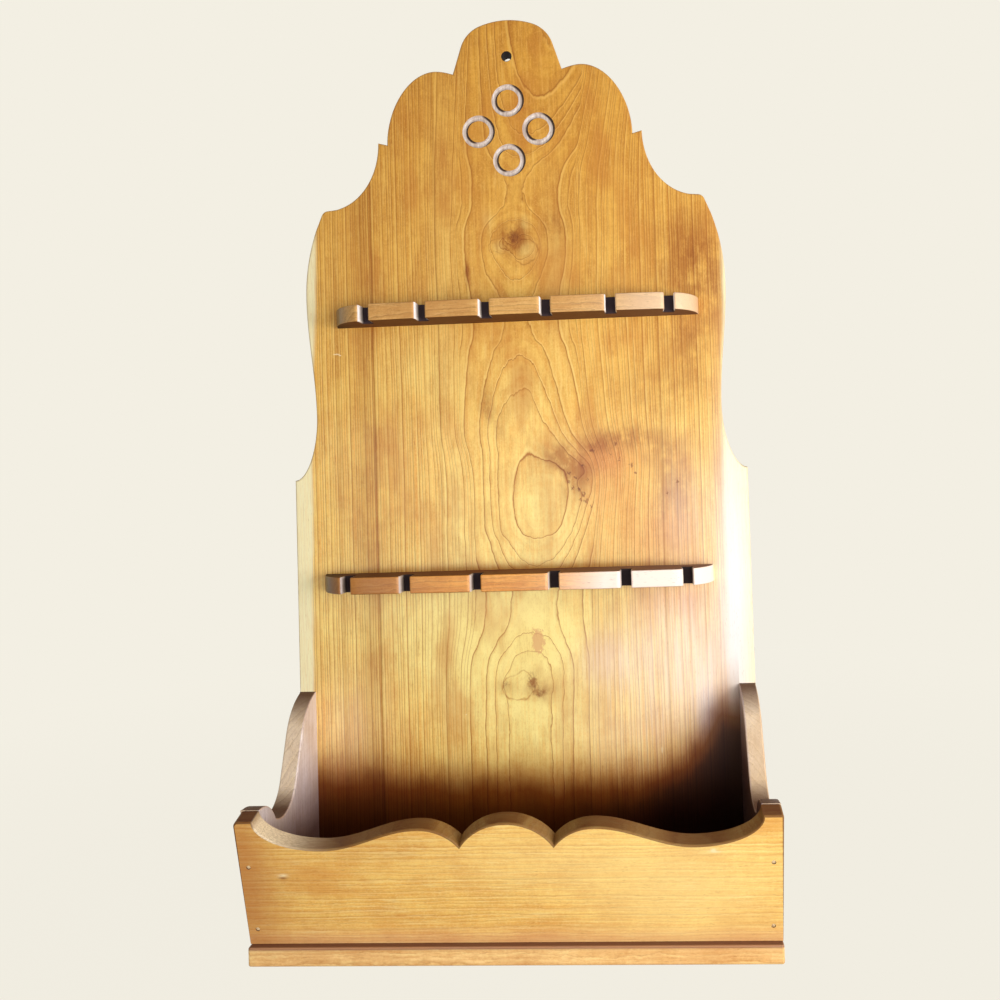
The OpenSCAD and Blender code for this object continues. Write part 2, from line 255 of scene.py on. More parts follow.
def makeSpotGroup():
    tree, given, result = makeGroup("softSpot", {
        "Position": (0, 0, 0), "Centre": (0, 0, 0), "Size": (1, 1, 1), "Height": 1.0}, ["Value"])
    apart = vectorCalc("DIVIDE", vectorCalc("SUBTRACT", given["Position"], given["Centre"]), given["Size"])
    fall = calc("EXPONENT", vectorCalc("DOT_PRODUCT", apart, apart) * -1.0)
    plug(result["Value"], fall * given["Height"])
    return tree


def bell(distance, width):
    near = distance / width
    return calc("EXPONENT", near * near * -1.0)


def makeRingGroup():
    tree, given, result = makeGroup("growthRings", {
        "Position": (0, 0, 0), "Pith depth": 46.0, "Pith offset": 0.0, "Ring width": 4.0, "Crowding": 0.0,
        "Swell": 0.0, "Wander": 0.3, "Line": 0.4, "Seed": 0.0}, ["Late", "Glow", "Bands"])
    width, line, seed = given["Ring width"], given["Line"], given["Seed"]
    x, y, _ = separate(given["Position"])
    across, behind = x - given["Pith offset"], y + given["Pith depth"]
    reach = calc("SQRT", calc("MULTIPLY_ADD", across, across, behind * behind))
    beside = calc("ABSOLUTE", across)
    number = reach / width + given["Swell"]
    number = number + calc("MAXIMUM", beside - 40.0, 0.0) * given["Crowding"]
    seeded = vectorCalc("ADD", given["Position"], combine(seed, seed, seed * 3.1))
    for sizes, share in (((16, 16, 75), 1.9), ((3.0, 3.0, 7), 0.55)):
        number = number + (noise(seeded, sizes) - 0.5) * (given["Wander"] * share)
    number = number + calc("SINE", number * 1.7) * 0.30  # uneven years
    # how far the next and the last ring line are, in millimetres
    spacing = width / calc("MAXIMUM", beside / reach, 0.14)
    after = calc("FRACT", number) * spacing
    before = spacing - after
    late = calc("MAXIMUM", bell(before, line), bell(after, line * 0.5)) + bell(before, line * 3.2) * 0.4
    glow = bell(after - line * 2.0, line * 1.2)
    year = calc("FLOOR", number + 0.02)
    strength = linear(addNode(tree, "ShaderNodeTexWhiteNoise", {"W": year}, noise_dimensions="1D"),
                      0.0, 1.0, 0.4, 1.0)
    plug(result["Late"], clamped(late * strength))
    plug(result["Glow"], clamped(glow * strength))
    plug(result["Bands"], addNode(tree, "ShaderNodeTexNoise", {
        "W": number * 2.3, "Scale": 1.0, "Detail": 3.0, "Roughness": 0.65}, noise_dimensions="1D"))
    return tree


# size of one step across, through and along the grain in mm, shift, detail, roughness and distortion
fibrePatterns = {
    "Streak": ((1.8, 1.8, 60), 0.0, 4.0, 0.68), "Lines": ((0.85, 0.85, 46), 5.0, 2.0, 0.6),
    "Strands": ((1.3, 1.3, 34), 13.0, 2.0, 0.6), "Grit": ((0.9, 0.9, 1.3), 23.0, 2.0, 0.6),
    "Fine": ((0.6, 0.6, 11), 3.0, 2.0, 0.65), "Pore": ((0.42, 0.42, 4.0), 7.0, 1.0, 0.5),
    "Silk": ((8, 8, 3.4), 2.0, 3.0, 0.6, 0.4), "Patch": ((15, 15, 30), 6.0, 3.0, 0.6),
    "Cloud": ((26, 26, 60), 1.0, 3.0, 0.6),
}
fibreLimits = {"Lines": (0.56, 0.70), "Strands": (0.54, 0.70), "Pore": (0.64, 0.76), "Patch": (0.40, 0.60)}


def makeFibreGroup():
    tree, given, result = makeGroup("woodFibres", {"Position": (0, 0, 0), "Seed": 0.0}, fibrePatterns)
    seed = given["Seed"]
    place = vectorCalc("ADD", given["Position"], combine(seed, seed, seed))
    breaks = remap(noise(place, (2.2, 2.2, 6.5), 17.0, 2.0, 0.6), 0.38, 0.58, 0.3, 1.0)
    for name, pattern in fibrePatterns.items():
        value = noise(place, *pattern)
        if name in fibreLimits:
            value = remap(value, *fibreLimits[name])
        plug(result[name], value * breaks if name in ("Lines", "Strands") else value)
    return tree


lean = math.radians(15)            # of the front board, outwards
footFront = faceY / mm - 84.0      # front of its foot
trayShape = {
    "half": 141.8, "back": footFront + thickness / math.cos(lean) + thickness * math.tan(lean) - 0.3,
    # height, and how dark the painted shade in the tray is there
    "dirt": [(-20, 1.0), (20, 0.96), (50, 0.82), (60, 0.69), (72, 0.52), (82, 0.30), (92, 0.10), (102, 0.0)],
    "clean": 50.0, "corner": 80.0, "rise": 50.0,  # right of this the painted shadow of the right panel climbs by so much in the corner
}


def makeTrayGroup():
    # painted shade inside the tray: how dark it is at a point, 1 at the bottom, 0 above the rim and outside
    tree, given, result = makeGroup("trayInside", {"Place": (0, 0, 0), "Shift": 0.0}, ["Deep"])
    x, y, z = separate(given["Place"])
    tests = [calc("LESS_THAN", calc("ABSOLUTE", x), trayShape["half"]),
             calc("GREATER_THAN", z * math.tan(lean) + y, trayShape["back"]),
             calc("LESS_THAN", y, faceY / mm + 0.3), calc("GREATER_THAN", z, floorTop / mm - 0.3)]
    # the painted shade reaches higher in the right corner as the right panel's shadow, and a little higher
    # towards the left
    aside = calc("MAXIMUM", x - trayShape["clean"], 0.0)
    climb = calc("MINIMUM", calc("POWER", aside / trayShape["corner"], 3.0), 1.0)
    lower = climb * trayShape["rise"] + remap(x, -30.0, -130.0, 0.0, 9.0)
    deep = throughCurve(z + given["Shift"] - lower, trayShape["dirt"])
    for test in tests:
        deep = deep * test
    plug(result["Deep"], deep)
    return tree


spotGroup, ringGroup = makeSpotGroup(), makeRingGroup()
fibreGroup, trayGroup = makeFibreGroup(), makeTrayGroup()


def spot(position, across, up, wide, high, share=1.0):
    # a soft spot that reaches all the way through the piece
    return useGroup(spotGroup, {"Position": position, "Centre": (across, 0, up),
                                "Size": (wide, 400, high), "Height": share})["Value"]


def spots(position, places):
    total = spot(position, *places[0])
    for place in places[1:]:
        total = total + spot(position, *place)
    return total


def jolted(position, sizes, shifts, detail, reach):
    # the position, pushed about in the plane of the board
    across, up = (noise(position, sizes, shift, detail) for shift in shifts)
    centred = vectorCalc("SUBTRACT", combine(across, 0.0, up), (0.5, 0.0, 0.5))
    return vectorCalc("MULTIPLY_ADD", centred, (reach, 0.0, reach), position)


def grainPosition(tree, grain, origin):
    # the place on the piece, turned so that z runs along the grain
    place = millimetres(tree, origin)
    if grain == "z":
        return place
    x, y, z = separate(place)
    return combine(z, y, x)


def woodTone(rings, fibres, layers):
    return (remap(rings["Bands"], 0.34, 0.66) * 0.34 + remap(fibres["Streak"], 0.36, 0.64) * layers["streaks"]
            + remap(fibres["Silk"], 0.3, 0.7) * layers["silk"])


def layerFibres(colour, rings, fibres, patches, lined, strand, look):
    # patches, dark lines, grit, light strands and growth rings, one over the other
    layers = look["layers"]
    colour = darkened(patches, colour, look["patch"])
    colour = darkened(remap(fibres["Fine"], *layers["fine"]) * lined, colour, look["fineLine"])
    colour = mixColour(fibres["Lines"] * (lined * layers["lines"]), colour, look["fineLine"])
    colour = darkened(remap(fibres["Grit"], 0.52, 0.68, 0.0, 0.18), colour, look["patch"])
    colour = mixColour(remap(fibres["Grit"], 0.32, 0.48, 0.25, 0.0), colour, strand)
    colour = mixColour(fibres["Strands"] * layers["strands"], colour, strand)
    colour = mixColour(rings["Glow"] * layers["glow"], colour, strand)
    colour = mixColour(rings["Late"] * look["contrast"], colour, look["lateLine"])
    return mixColour(remap(fibres["Cloud"], *layers["clouds"]) * layers["warm"], colour, look["warm"])


# colours of painted shade: the bottom of the tray, its right corner, and the bottoms of slots and bores
grime = {"tray": srgb(54, 32, 26), "corner": srgb(96, 44, 34), "slot": srgb(58, 46, 52)}


def finishWood(tree, material, colour, fibres, late, look):
    # worn edges, dust and painted shade on flat faces, a painted highlight, painted shade in the tray and in
    # slots and bores, varnish and fine relief over a wood colour
    edge, dustAndShade, shadeMask = (attribute(tree, name) for name in ("edge", "dustAndShade", "shadeMask"))
    rubbed = edge * remap(fibres["Cloud"], 0.35, 0.65, 0.35, 1.0) * look["edgeShare"]
    colour = mixColour(rubbed, colour, look["edgeColour"])
    # flat faces and some cut edges darkened: dust and painted shade
    colour = darkened(dustAndShade * look["dustShadeShare"], colour, look["dustShadeColour"])
    place = millimetres(tree)
    x, _, _ = separate(place)
    # a pale painted highlight on the flat top of the front board's left end
    if look["swept"]:
        swept = clamped(spot(place, *look["swept"]) * dustAndShade)
        swept = swept * remap(x, look["highlightFrom"], look["highlightFrom"] + 2.5)
        colour = mixColour(swept * remap(fibres["Fine"], 0.3, 0.7, 0.55, 0.95), colour, look["highlightColour"])
    # painted shade inside the tray, darkest at its bottom
    shift = fibres["Cloud"] * 24.0 + (look["trayShift"] - 12.0)
    tray = useGroup(trayGroup, {"Place": place, "Shift": shift})["Deep"] * look["trayShare"]
    colour = darkened(linear(tray, 0.0, 0.6), colour, look["trayTint"])
    colour = darkened(linear(tray, 0.42, 1.0, 0.0, 0.97), colour, grime["tray"])
    # painted shadow of the right panel in the tray's right corner
    corner = remap(x, -20.0, 95.0) * remap(tray, 0.55, 0.85, 0.0, 0.72)
    colour = darkened(corner, colour, grime["corner"])
    # walls of slots and bores: pale rail slot walls are a painted highlight, the boards' brown bore walls
    # painted shade, and painted shade deepens towards their bottoms
    deepWall = tuple(a * b for a, b in zip(look["wallColour"], grime["slot"]))
    walls = mixColour(linear(shadeMask, 0.35, 0.96), look["wallColour"], deepWall)
    colour = mixColour(remap(shadeMask, 0.02, 0.12), colour, walls)
    height = fibres["Fine"] * 0.35 + fibres["Pore"] * -0.5 + late * -0.25 + fibres["Streak"] * 0.4
    rough = (linear(fibres["Fine"], 0.2, 0.8, look["rough"] - 0.05, look["rough"] + 0.07)
             + fibres["Pore"] * 0.12 + rubbed * 0.15 + shadeMask * 0.35 + dustAndShade * 0.25)
    endMaterial(tree, colour, rough, (height, look["relief"], 0.12), {
        "Specular IOR Level": 0.25, "Coat Roughness": look["coatRough"],
        "Coat Weight": linear(calc("MAXIMUM", shadeMask, dustAndShade), 0.0, 1.0, look["coat"], 0.0)})
    return material


# The back board's figure: growth rings round a pith that wanders behind the board, with knots.

boardFigure = {
    "layers": {"streaks": 0.46, "silk": 0.20, "fine": (0.50, 0.76), "lines": 0.62, "strands": 0.42,
               "glow": 0.65, "clouds": (0.46, 0.70), "warm": 0.45},
    "ringWidth": 4.0, "pithDepth": 60.5, "wander": 0.30, "crowding": 0.22, "line": 0.44, "contrast": 1.0,
    "figureHalf": 56.0,  # how far aside the pith's wandering still shows
    "pithAcross": 4.0,   # where the pith lies across the board, before it wanders
    # height above the bottom in mm, and how many rings the pith lies nearer or farther there
    "depths": [(0, -1.3), (100, -1.3), (137, -1.35), (165, -0.6), (195, 0.1), (215, -0.8), (232, -1.7),
               (259, -2.6), (290, -2.0), (328, -1.0), (362, 0.0), (380, 0.5), (400, 0.35), (436, -0.3),
               (463, 0.6), (474, 0.55), (497, -0.4), (540, -1.6), (590, -2.6)],
    # height, and how far the pith wanders across there, in mm
    "wanders": [(0, -2), (100, -2), (137, -1), (180, 4), (215, 6), (240, 8), (259, 9), (290, 5), (328, -2),
                (362, -2), (436, -2), (470, -1), (500, 4), (540, 10), (590, 16)],
    # centre across and up, size across and up, and how many rings are pushed aside there
    "swells": [(-10, 433, 7, 9, -0.55), (13, 431, 8, 10, -0.75), (1.6, 437, 3, 4, 0.5),
               (2, 425, 17, 26, -0.55), (52, 274, 19, 23, -1.9), (76, 285, 18, 20, -1.0),
               (12, 256, 18, 20, -0.5), (41, 270, 5, 6, 0.8), (70, 565, 42, 50, -4.2),
               (3.4, 137, 4, 4, 0.5), (-10, 138, 6, 6, -0.5), (11, 136, 6, 6, -0.4), (85, 190, 25, 60, 0.6),
               (-60, 300, 30, 70, 0.4), (60, 400, 22, 60, 0.9)],
    # centre and size across and up, share
    "knots": [(1.2, 437.2, 4.6, 5.6, 0.8), (5.2, 138.5, 3.4, 5.6, 0.95), (-12.4, 137.8, 2.8, 2.4, 0.7),
              (10.5, 131.5, 4.6, 2.6, 0.7), (34, 277, 1.7, 1.3), (38, 274, 1.6, 1.0), (33.5, 271, 0.9, 1.2),
              (36, 267, 1.0, 1.6), (40, 266, 1.5, 1.0), (43, 262.5, 1.0, 1.5), (44.5, 258, 1.6, 1.8),
              (41, 259, 0.9, 0.9), (46, 272, 0.8, 1.0), (48, 254, 0.8, 1.4), (43.5, 282, 1.1, 1.1),
              (49.5, 291.5, 1.7, 1.1), (65.5, 296, 1.1, 1.3), (67.5, 285, 0.9, 1.3), (75.6, 281, 1.1, 1.6),
              (78, 276, 0.8, 1.2), (105.7, 269, 1.0, 1.2), (62, 289, 0.8, 0.8), (99, 262, 0.8, 1.0)],
    "halos": [(1.6, 436, 12, 10, 0.5), (1.2, 437, 7.5, 9, 1.6), (-31, 414, 1.6, 7, 1.6),
              (4, 139, 10, 10, 0.4), (12, 132, 9, 6, 0.9), (-12, 135, 6, 5, 0.5), (26, 290, 12, 8, 0.9),
              (36, 281, 14, 9, 1.0), (38, 268, 9, 11, 0.7), (50, 294, 12, 5, 0.8), (68, 300, 20, 8, 1.0),
              (94, 292, 16, 12, 0.5), (128, 405, 22, 38, 0.8), (-20, 322, 5, 13, 0.9),
              (-12, 310, 5, 8, 0.6), (-22, 395, 7, 20, 0.35), (96, 330, 34, 20, 0.5),
              (104, 262, 14, 28, 0.9), (60, 200, 40, 22, 0.3), (-100, 250, 30, 60, 0.3),
              (31, 444, 7, 6, 1.0), (32, 442, 16, 16, 0.35), (113, 425, 20, 26, 0.5),
              (113, 364, 18, 24, 0.5)],
    "blushes": [(58, 286, 22, 14, 1.0), (58, 262, 24, 16, 0.5), (84, 232, 34, 20, 0.55),
                (106, 246, 20, 20, 0.35), (108, 192, 24, 14, 0.75)],
    "stain": (9.7, 165.5, 4.8, 9.5),
    "eyes": [(-3.6, 136, 9.5, 9), (10.2, 428, 8, 8.6), (-9.4, 431.5, 4.8, 5.2)],
    "shelfShadow": (-2.5, 213.5, 116, 4.6, 1.0),  # painted shadow above the lower rail
    # painted sheens where the window's reflection lies
    "hazes": [(122, 150, 28, 52, 0.55), (140, 215, 12, 60, 0.45), (96, 176, 30, 26, 0.28),
              (112, 248, 20, 36, 0.3), (-120, 105, 26, 40, 0.25), (70, 100, 40, 26, 0.25),
              (56, 153, 22, 18, 0.35), (88, 140, 36, 30, 0.42)],
    "gleams": [(122, 112, 8, 24, 0.5), (141, 180, 9, 120, 0.5)],
    "scratches": [(-122, 362.5, 2.6, 0.45), (-119.5, 361.6, 1.0, 0.4), (89.7, 92.5, 0.5, 2.4),
                  (-40, 118, 0.4, 0.4)],
    "darkLines": [(-96.5, 0.7, 0.8), (-103, 7.0, 0.32), (96, 1.0, 0.3), (-52, 1.0, 0.3), (-121, 1.2, 0.3)],
    "sapLeft": [(0, -144), (150, -142), (290, -139.5), (380, -136), (460, -133.5), (590, -132)],
    "sapRight": [(0, 133), (150, 134), (290, 136), (400, 139), (590, 141)],
    # height, and how pale the wood is there: partly its own tone and partly painted light, palest low in the
    # middle and darker at the top
    "paleness": [(0, 0.5), (70, 0.75), (100, 1.0), (200, 1.0), (290, 0.92), (340, 0.66), (430, 0.34),
                 (520, 0.12), (590, 0)],
    # spots of paler wood: partly its own figure and partly painted light
    "pales": [(8, 166, 46, 56, 1.5), (0, 108, 60, 30, 0.7), (16, 258, 34, 38, 0.8), (84, 176, 56, 60, 0.45),
              (-90, 178, 56, 40, 0.85), (-48, 170, 34, 40, 1.0), (62, 166, 34, 30, 0.4),
              (10.5, 428, 6, 6.5, 0.7), (-9, 431, 3.6, 4, 0.6), (9, 446, 3, 5, 0.5), (-16, 449, 4, 6, 0.4),
              (-40, 236, 16, 50, 0.35), (-46, 200, 12, 300, 0.3), (2, 330, 16, 22, 0.4),
              (30, 400, 8, 60, 0.3), (120, 250, 30, 50, 0.15), (-64, 345, 34, 26, 0.35)],
    "light": srgb(255, 220, 120), "middle": srgb(246, 184, 86), "deepLight": srgb(234, 172, 66),
    "deepMiddle": srgb(200, 134, 42), "pale": srgb(255, 234, 150), "lateLine": srgb(176, 110, 36),
    "fineLine": srgb(190, 136, 60), "patch": srgb(214, 186, 150), "strand": srgb(255, 230, 146),
    "deepStrand": srgb(244, 192, 96), "warm": srgb(196, 122, 48), "sap": srgb(252, 243, 198),
    "knot": srgb(176, 140, 122),
    "halo": srgb(196, 166, 144), "haze": srgb(255, 234, 222), "gleam": srgb(226, 230, 255),
    "blush": srgb(236, 204, 210), "shade": srgb(184, 148, 88), "shelfShadowColour": srgb(196, 158, 124),
    "stainColour": srgb(216, 158, 106), "scratch": srgb(250, 232, 190),
}
boardLook = {"edgeColour": srgb(196, 138, 70), "edgeShare": 0.4, "relief": 0.5, "rough": 0.40,
             "coat": 0.26, "coatRough": 0.13, "dustShadeShare": 0.95, "dustShadeColour": srgb(118, 86, 70),
             "wallColour": srgb(120, 84, 56), "trayShare": 0.95, "trayShift": 0.0,
             "trayTint": srgb(152, 100, 58), "swept": None, "beyond": None}


def makeBoardWood():
    material, tree = newMaterial("boardWood")
    figure = boardFigure
    position = millimetres(tree, (0, faceY, 0))
    x, y, z = separate(position)
    near = (x - figure["pithAcross"]) / figure["figureHalf"]
    fade = bell(near * near, 1.0)
    offset = throughCurve(z, figure["wanders"]) * fade + figure["pithAcross"]
    depth = throughCurve(z, figure["depths"]) * fade * figure["ringWidth"] + figure["pithDepth"]
    rings = useGroup(ringGroup, {
        "Position": position, "Pith depth": depth, "Pith offset": offset, "Ring width": figure["ringWidth"],
        "Crowding": figure["crowding"], "Swell": spots(position, figure["swells"]),
        "Wander": figure["wander"], "Line": figure["line"], "Seed": 4.0})
    fibres = useGroup(fibreGroup, {"Position": position, "Seed": 11.0})
    tone = woodTone(rings, fibres, figure["layers"])
    # paleness and the pale spots are partly the wood's own tone and partly painted light
    paleness = throughCurve(fibres["Cloud"] * 150.0 + (z - 75.0), figure["paleness"])
    colour = mixColour(paleness, mixColour(tone, figure["deepLight"], figure["deepMiddle"]),
                       mixColour(tone, figure["light"], figure["middle"]))
    pales = clamped(spots(position, figure["pales"]) * remap(tone, 0.2, 0.8, 1.0, 0.5))
    colour = mixColour(pales, colour, figure["pale"])
    plain = remap(calc("ABSOLUTE", x - offset), 16, 70)
    lined = remap(fibres["Patch"], 0.0, 1.0, 0.25, 1.0) * (plain * 0.30 + 0.26)
    patches = fibres["Patch"] * linear(paleness, 0.0, 1.0, 0.34, 0.24)
    strand = mixColour(paleness, figure["deepStrand"], figure["strand"])
    colour = layerFibres(colour, rings, fibres, patches, lined, strand, figure)
    # soft dark clouds round the knots, and the rings of small eyes
    blotch = noise(position, (9, 9, 16), 5.0, 4.0, 0.65)
    halo = clamped(spots(position, figure["halos"]) * remap(blotch, 0.3, 0.62, 0.2, 1.0))
    colour = darkened(halo, colour, figure["halo"])
    colour = darkened(calc("MINIMUM", spots(position, figure["blushes"]), 1.0), colour, figure["blush"])
    drifting = jolted(position, (9, 9, 10), (8.0, 21.0), 2.0, 13.0)
    broken = remap(blotch, 0.4, 0.6, 0.2, 0.7)
    for eye in figure["eyes"]:
        outline = bell(spot(drifting, *eye) - 0.37, 0.05)
        colour = darkened(outline * broken, colour, figure["fineLine"])
    # painted shadow on the board just above the lower rail
    shelf = spot(position, *figure["shelfShadow"]) * remap(y, 0.5, 1.5, 1.0, 0.0)
    colour = darkened(shelf, colour, figure["shelfShadowColour"])
    # pale sapwood along both edges
    shaky = noise(position, (5, 5, 40), 2.0) * 3.0 - 1.5
    wavyX = x + shaky
    sap = (remap(throughCurve(z, figure["sapLeft"]) - wavyX, -1.0, 2.5)
           + remap(wavyX - throughCurve(z, figure["sapRight"]), -1.5, 3.0))
    colour = mixColour(sap * remap(fibres["Fine"], 0.3, 0.7, 0.72, 0.97), colour, figure["sap"])
    # painted sheen of the window's reflection on the lower right
    hazes = clamped(spots(position, figure["hazes"]) * remap(fibres["Streak"], 0.3, 0.7, 1.0, 0.55))
    colour = mixColour(hazes, colour, figure["haze"])
    colour = mixColour(calc("MINIMUM", spots(position, figure["gleams"]), 1.0), colour, figure["gleam"])
    for place, width, share in figure["darkLines"]:
        colour = darkened(bell(shaky * 0.5 + x - place, width) * share, colour, figure["shade"])
    rag = noise(position, (1.5, 1.5, 2.4), 9.0, 3.0, 0.75) * 1.5 - 0.75
    stain = remap(spot(position, *figure["stain"]) + rag, 0.42, 0.55, 0.0, 0.7)
    colour = mixColour(stain, colour, figure["stainColour"])
    ragged = jolted(position, (1.2, 1.2, 1.7), (3.0, 15.0), 1.0, 4.0)
    knots = remap(spots(ragged, figure["knots"]) + rag * 0.8, 0.15, 1.0)
    colour = darkened(knots, colour, figure["knot"])
    colour = mixColour(fibres["Pore"] * 0.3, colour, figure["lateLine"])
    scratches = remap(spots(position, figure["scratches"]), 0.3, 0.6, 0.0, 0.7)
    colour = mixColour(scratches, colour, figure["scratch"])
    return finishWood(tree, material, colour, fibres, rings["Late"], boardLook)


def makePlankWood(name, look):
    material, tree = newMaterial(name)
    position = grainPosition(tree, look["grain"], look["origin"])
    rings = useGroup(ringGroup, {
        "Position": position, "Pith depth": look["pithDepth"], "Pith offset": look["pithOffset"],
        "Ring width": look["ringWidth"], "Wander": look["wander"], "Line": look["lineWidth"],
        "Seed": look["seed"]})
    fibres = useGroup(fibreGroup, {"Position": position, "Seed": look["seed"] + 5.0})
    colour = mixColour(woodTone(rings, fibres, look["layers"]), look["light"], look["middle"])
    lined = remap(fibres["Patch"], 0.0, 1.0, look["lined"] * 0.4, look["lined"])
    lines = dict(look, fineLine=look["line"], lateLine=look["line"])
    colour = layerFibres(colour, rings, fibres, fibres["Patch"] * 0.3, lined, look["strand"], lines)
    for tint, places in look["tints"]:
        colour = mixColour(calc("MINIMUM", spots(position, places), 0.9), colour, tint)
    colour = mixColour(fibres["Pore"] * 0.35, colour, look["line"])
    if look["beyond"]:
        x, _, _ = separate(position)
        outer = remap(calc("ABSOLUTE", x), look["beyond"], look["beyond"] + 0.8)
        colour = darkened(outer, colour, look["beyondColour"])
    return finishWood(tree, material, colour, fibres, rings["Late"], look)


plankLayers = {"streaks": 0.42, "silk": 0.24, "fine": (0.52, 0.8), "lines": 0.4, "strands": 0.5, "glow": 0.4,
               "clouds": (0.44, 0.70), "warm": 0.5}
# tints are colours and where they lie: across and along the grain from the origin, sizes, share
frontLook = dict(
    boardLook, grain="x", origin=(0, -0.045, 0.05), pithDepth=30.0, pithOffset=150.0, ringWidth=3.0,
    wander=0.9, lineWidth=0.3, seed=21.0, contrast=0.42, lined=0.40, layers=plankLayers,
    light=srgb(255, 218, 124), middle=srgb(238, 176, 80), line=srgb(174, 112, 46), warm=srgb(212, 140, 56),
    # a pale painted highlight lies on the flat top of the left end
    patch=srgb(220, 190, 156), strand=srgb(255, 232, 160), swept=(-138, 78, 24, 22, 1.3), highlightFrom=-142.5,
    highlightColour=srgb(244, 224, 190), edgeColour=srgb(206, 150, 88), dustShadeColour=srgb(104, 74, 58), tints=[
        (srgb(228, 168, 128), [(-38, 0, 7, 900, 0.5)]),
        (srgb(255, 226, 152), [(-6, 96, 34, 60, 0.5), (14, 20, 20, 60, 0.25)]),
        (srgb(182, 108, 46), [(0, -152, 60, 22, 0.75), (24, -80, 12, 40, 0.25)]),
        (srgb(250, 226, 176), [(5, -128, 1.0, 2.6, 1.0), (18, 114, 1.0, 1.6, 1.0),
                               (17, 115.5, 0.7, 3.0, 0.6)]),
        (srgb(150, 92, 44), [(3.4, -128, 0.8, 2.4, 0.9)])])
# the side panels' pale bluish wood is painted window light on their inner faces; the wood beyond the inner
# face is tinted warmer
sideLook = dict(
    frontLook, swept=None, grain="z", origin=(0, 0, 0), pithDepth=190.0, pithOffset=30.0, seed=33.0,
    trayShare=0.75, trayShift=14.0, trayTint=srgb(150, 118, 108), tints=[], light=srgb(240, 231, 236),
    middle=srgb(220, 207, 210), line=srgb(140, 108, 88), warm=srgb(196, 170, 146), strand=srgb(248, 236, 224),
    patch=srgb(224, 204, 184), contrast=0.28, coat=0.7, coatRough=0.2, beyond=142.0,
    beyondColour=srgb(252, 238, 204))
floorLook = dict(
    frontLook, swept=None, origin=(0, 0, 0), pithDepth=120.0, pithOffset=70.0, seed=47.0, wander=1.6,
    # the tints are painted shade on the top of the lip under the front board, with a thin painted highlight
    # along its eased edge
    tints=[(srgb(134, 86, 66), [(11.3, 0, 1.4, 900, 2.6)]),
           (srgb(186, 142, 118), [(10.6, 0, 0.28, 900, 0.35)])],
    dustShadeShare=0.5, dustShadeColour=srgb(92, 60, 54), light=srgb(255, 216, 150), middle=srgb(230, 178, 108),
    warm=srgb(212, 154, 92))
upperLook = dict(
    frontLook, swept=None, origin=(0, 0, 0.38), pithDepth=60.0, pithOffset=-40.0, ringWidth=2.4, seed=58.0,
    coat=0.3, coatRough=0.1, edgeShare=0.1, dustShadeColour=srgb(116, 84, 68), light=srgb(230, 180, 106),
    middle=srgb(200, 146, 76), line=srgb(118, 74, 38), warm=srgb(182, 122, 60), strand=srgb(240, 196, 128),
    # the pale slot walls are a painted highlight; the pale right end is a painted reflection and the dark
    # left end painted shade
    wallColour=srgb(252, 246, 246), tints=[
        (srgb(246, 220, 192), [(0, 104, 40, 40, 0.6)]),
        (srgb(96, 84, 66), [(0, -122, 40, 12, 0.9)])])
lowerLook = dict(
    upperLook, origin=(0, 0, 0.2), pithOffset=-34.0, seed=71.0, light=srgb(250, 178, 82),
    middle=srgb(220, 144, 54), line=srgb(112, 58, 24), warm=srgb(184, 106, 44), strand=srgb(255, 196, 108),
    # the pale slot walls are a painted highlight; the pale right part is a painted reflection, the left part
    # a darker orange with its dark end painted shade
    wallColour=srgb(206, 192, 186), tints=[
        (srgb(255, 236, 226), [(0, 80, 40, 38, 1.4), (0, 125, 40, 32, 1.0)]),
        (srgb(146, 88, 30), [(0, -104, 40, 46, 0.8)]),
        (srgb(80, 66, 46), [(0, -130, 40, 13, 0.9)])])
grooveLook = {"light": srgb(234, 222, 214), "dark": srgb(190, 168, 156), "speck": srgb(112, 84, 70),
              "grime": srgb(58, 34, 20)}


def makeGrooveWood():
    material, tree = newMaterial("grooveWood")
    position = millimetres(tree, (0, faceY, 0))
    fibres = useGroup(fibreGroup, {"Position": position, "Seed": 2.0})
    colour = mixColour(remap(fibres["Streak"], 0.3, 0.7), grooveLook["light"], grooveLook["dark"])
    speck = noise(position, (0.8, 0.8, 0.8), 3.0, 3.0, 0.7)
    colour = mixColour(remap(speck, 0.52, 0.75, 0.0, 0.4), colour, grooveLook["speck"])
    # painted shade on the groove walls turned from the light
    grooveShade = remap(attribute(tree, "shadeMask"), 0.2, 0.7)
    colour = mixColour(grooveShade * 0.96, colour, grooveLook["grime"])
    endMaterial(tree, colour, remap(speck, 0.3, 0.7, 0.22, 0.4), (speck, 0.3, 0.1), {
        "Specular IOR Level": 0.25, "Coat Weight": remap(grooveShade, 0.0, 1.0, 0.35, 0.0), "Coat Roughness": 0.15})
    return material


def makeSteel(name, bright, dull, rust, shine):
    material, tree = newMaterial(name)
    place = millimetres(tree)
    spoiled = noise(place, (1.6, 1.6, 1.6), 0.0, 4.0, 0.65)
    brushed = noise(place, (0.2, 0.2, 1.4), 4.0, 2.0, 0.6)
    colour = mixColour(remap(brushed, 0.3, 0.7), bright, dull)
    colour = mixColour(remap(spoiled, 0.5, 0.72, 0.0, 0.7), colour, rust)
    endMaterial(tree, colour, remap(spoiled, 0.35, 0.7, 0.3, 0.6), (spoiled, 0.25, 0.1), {
        "Metallic": remap(spoiled, 0.5, 0.75, shine, shine * 0.45)})
    return material


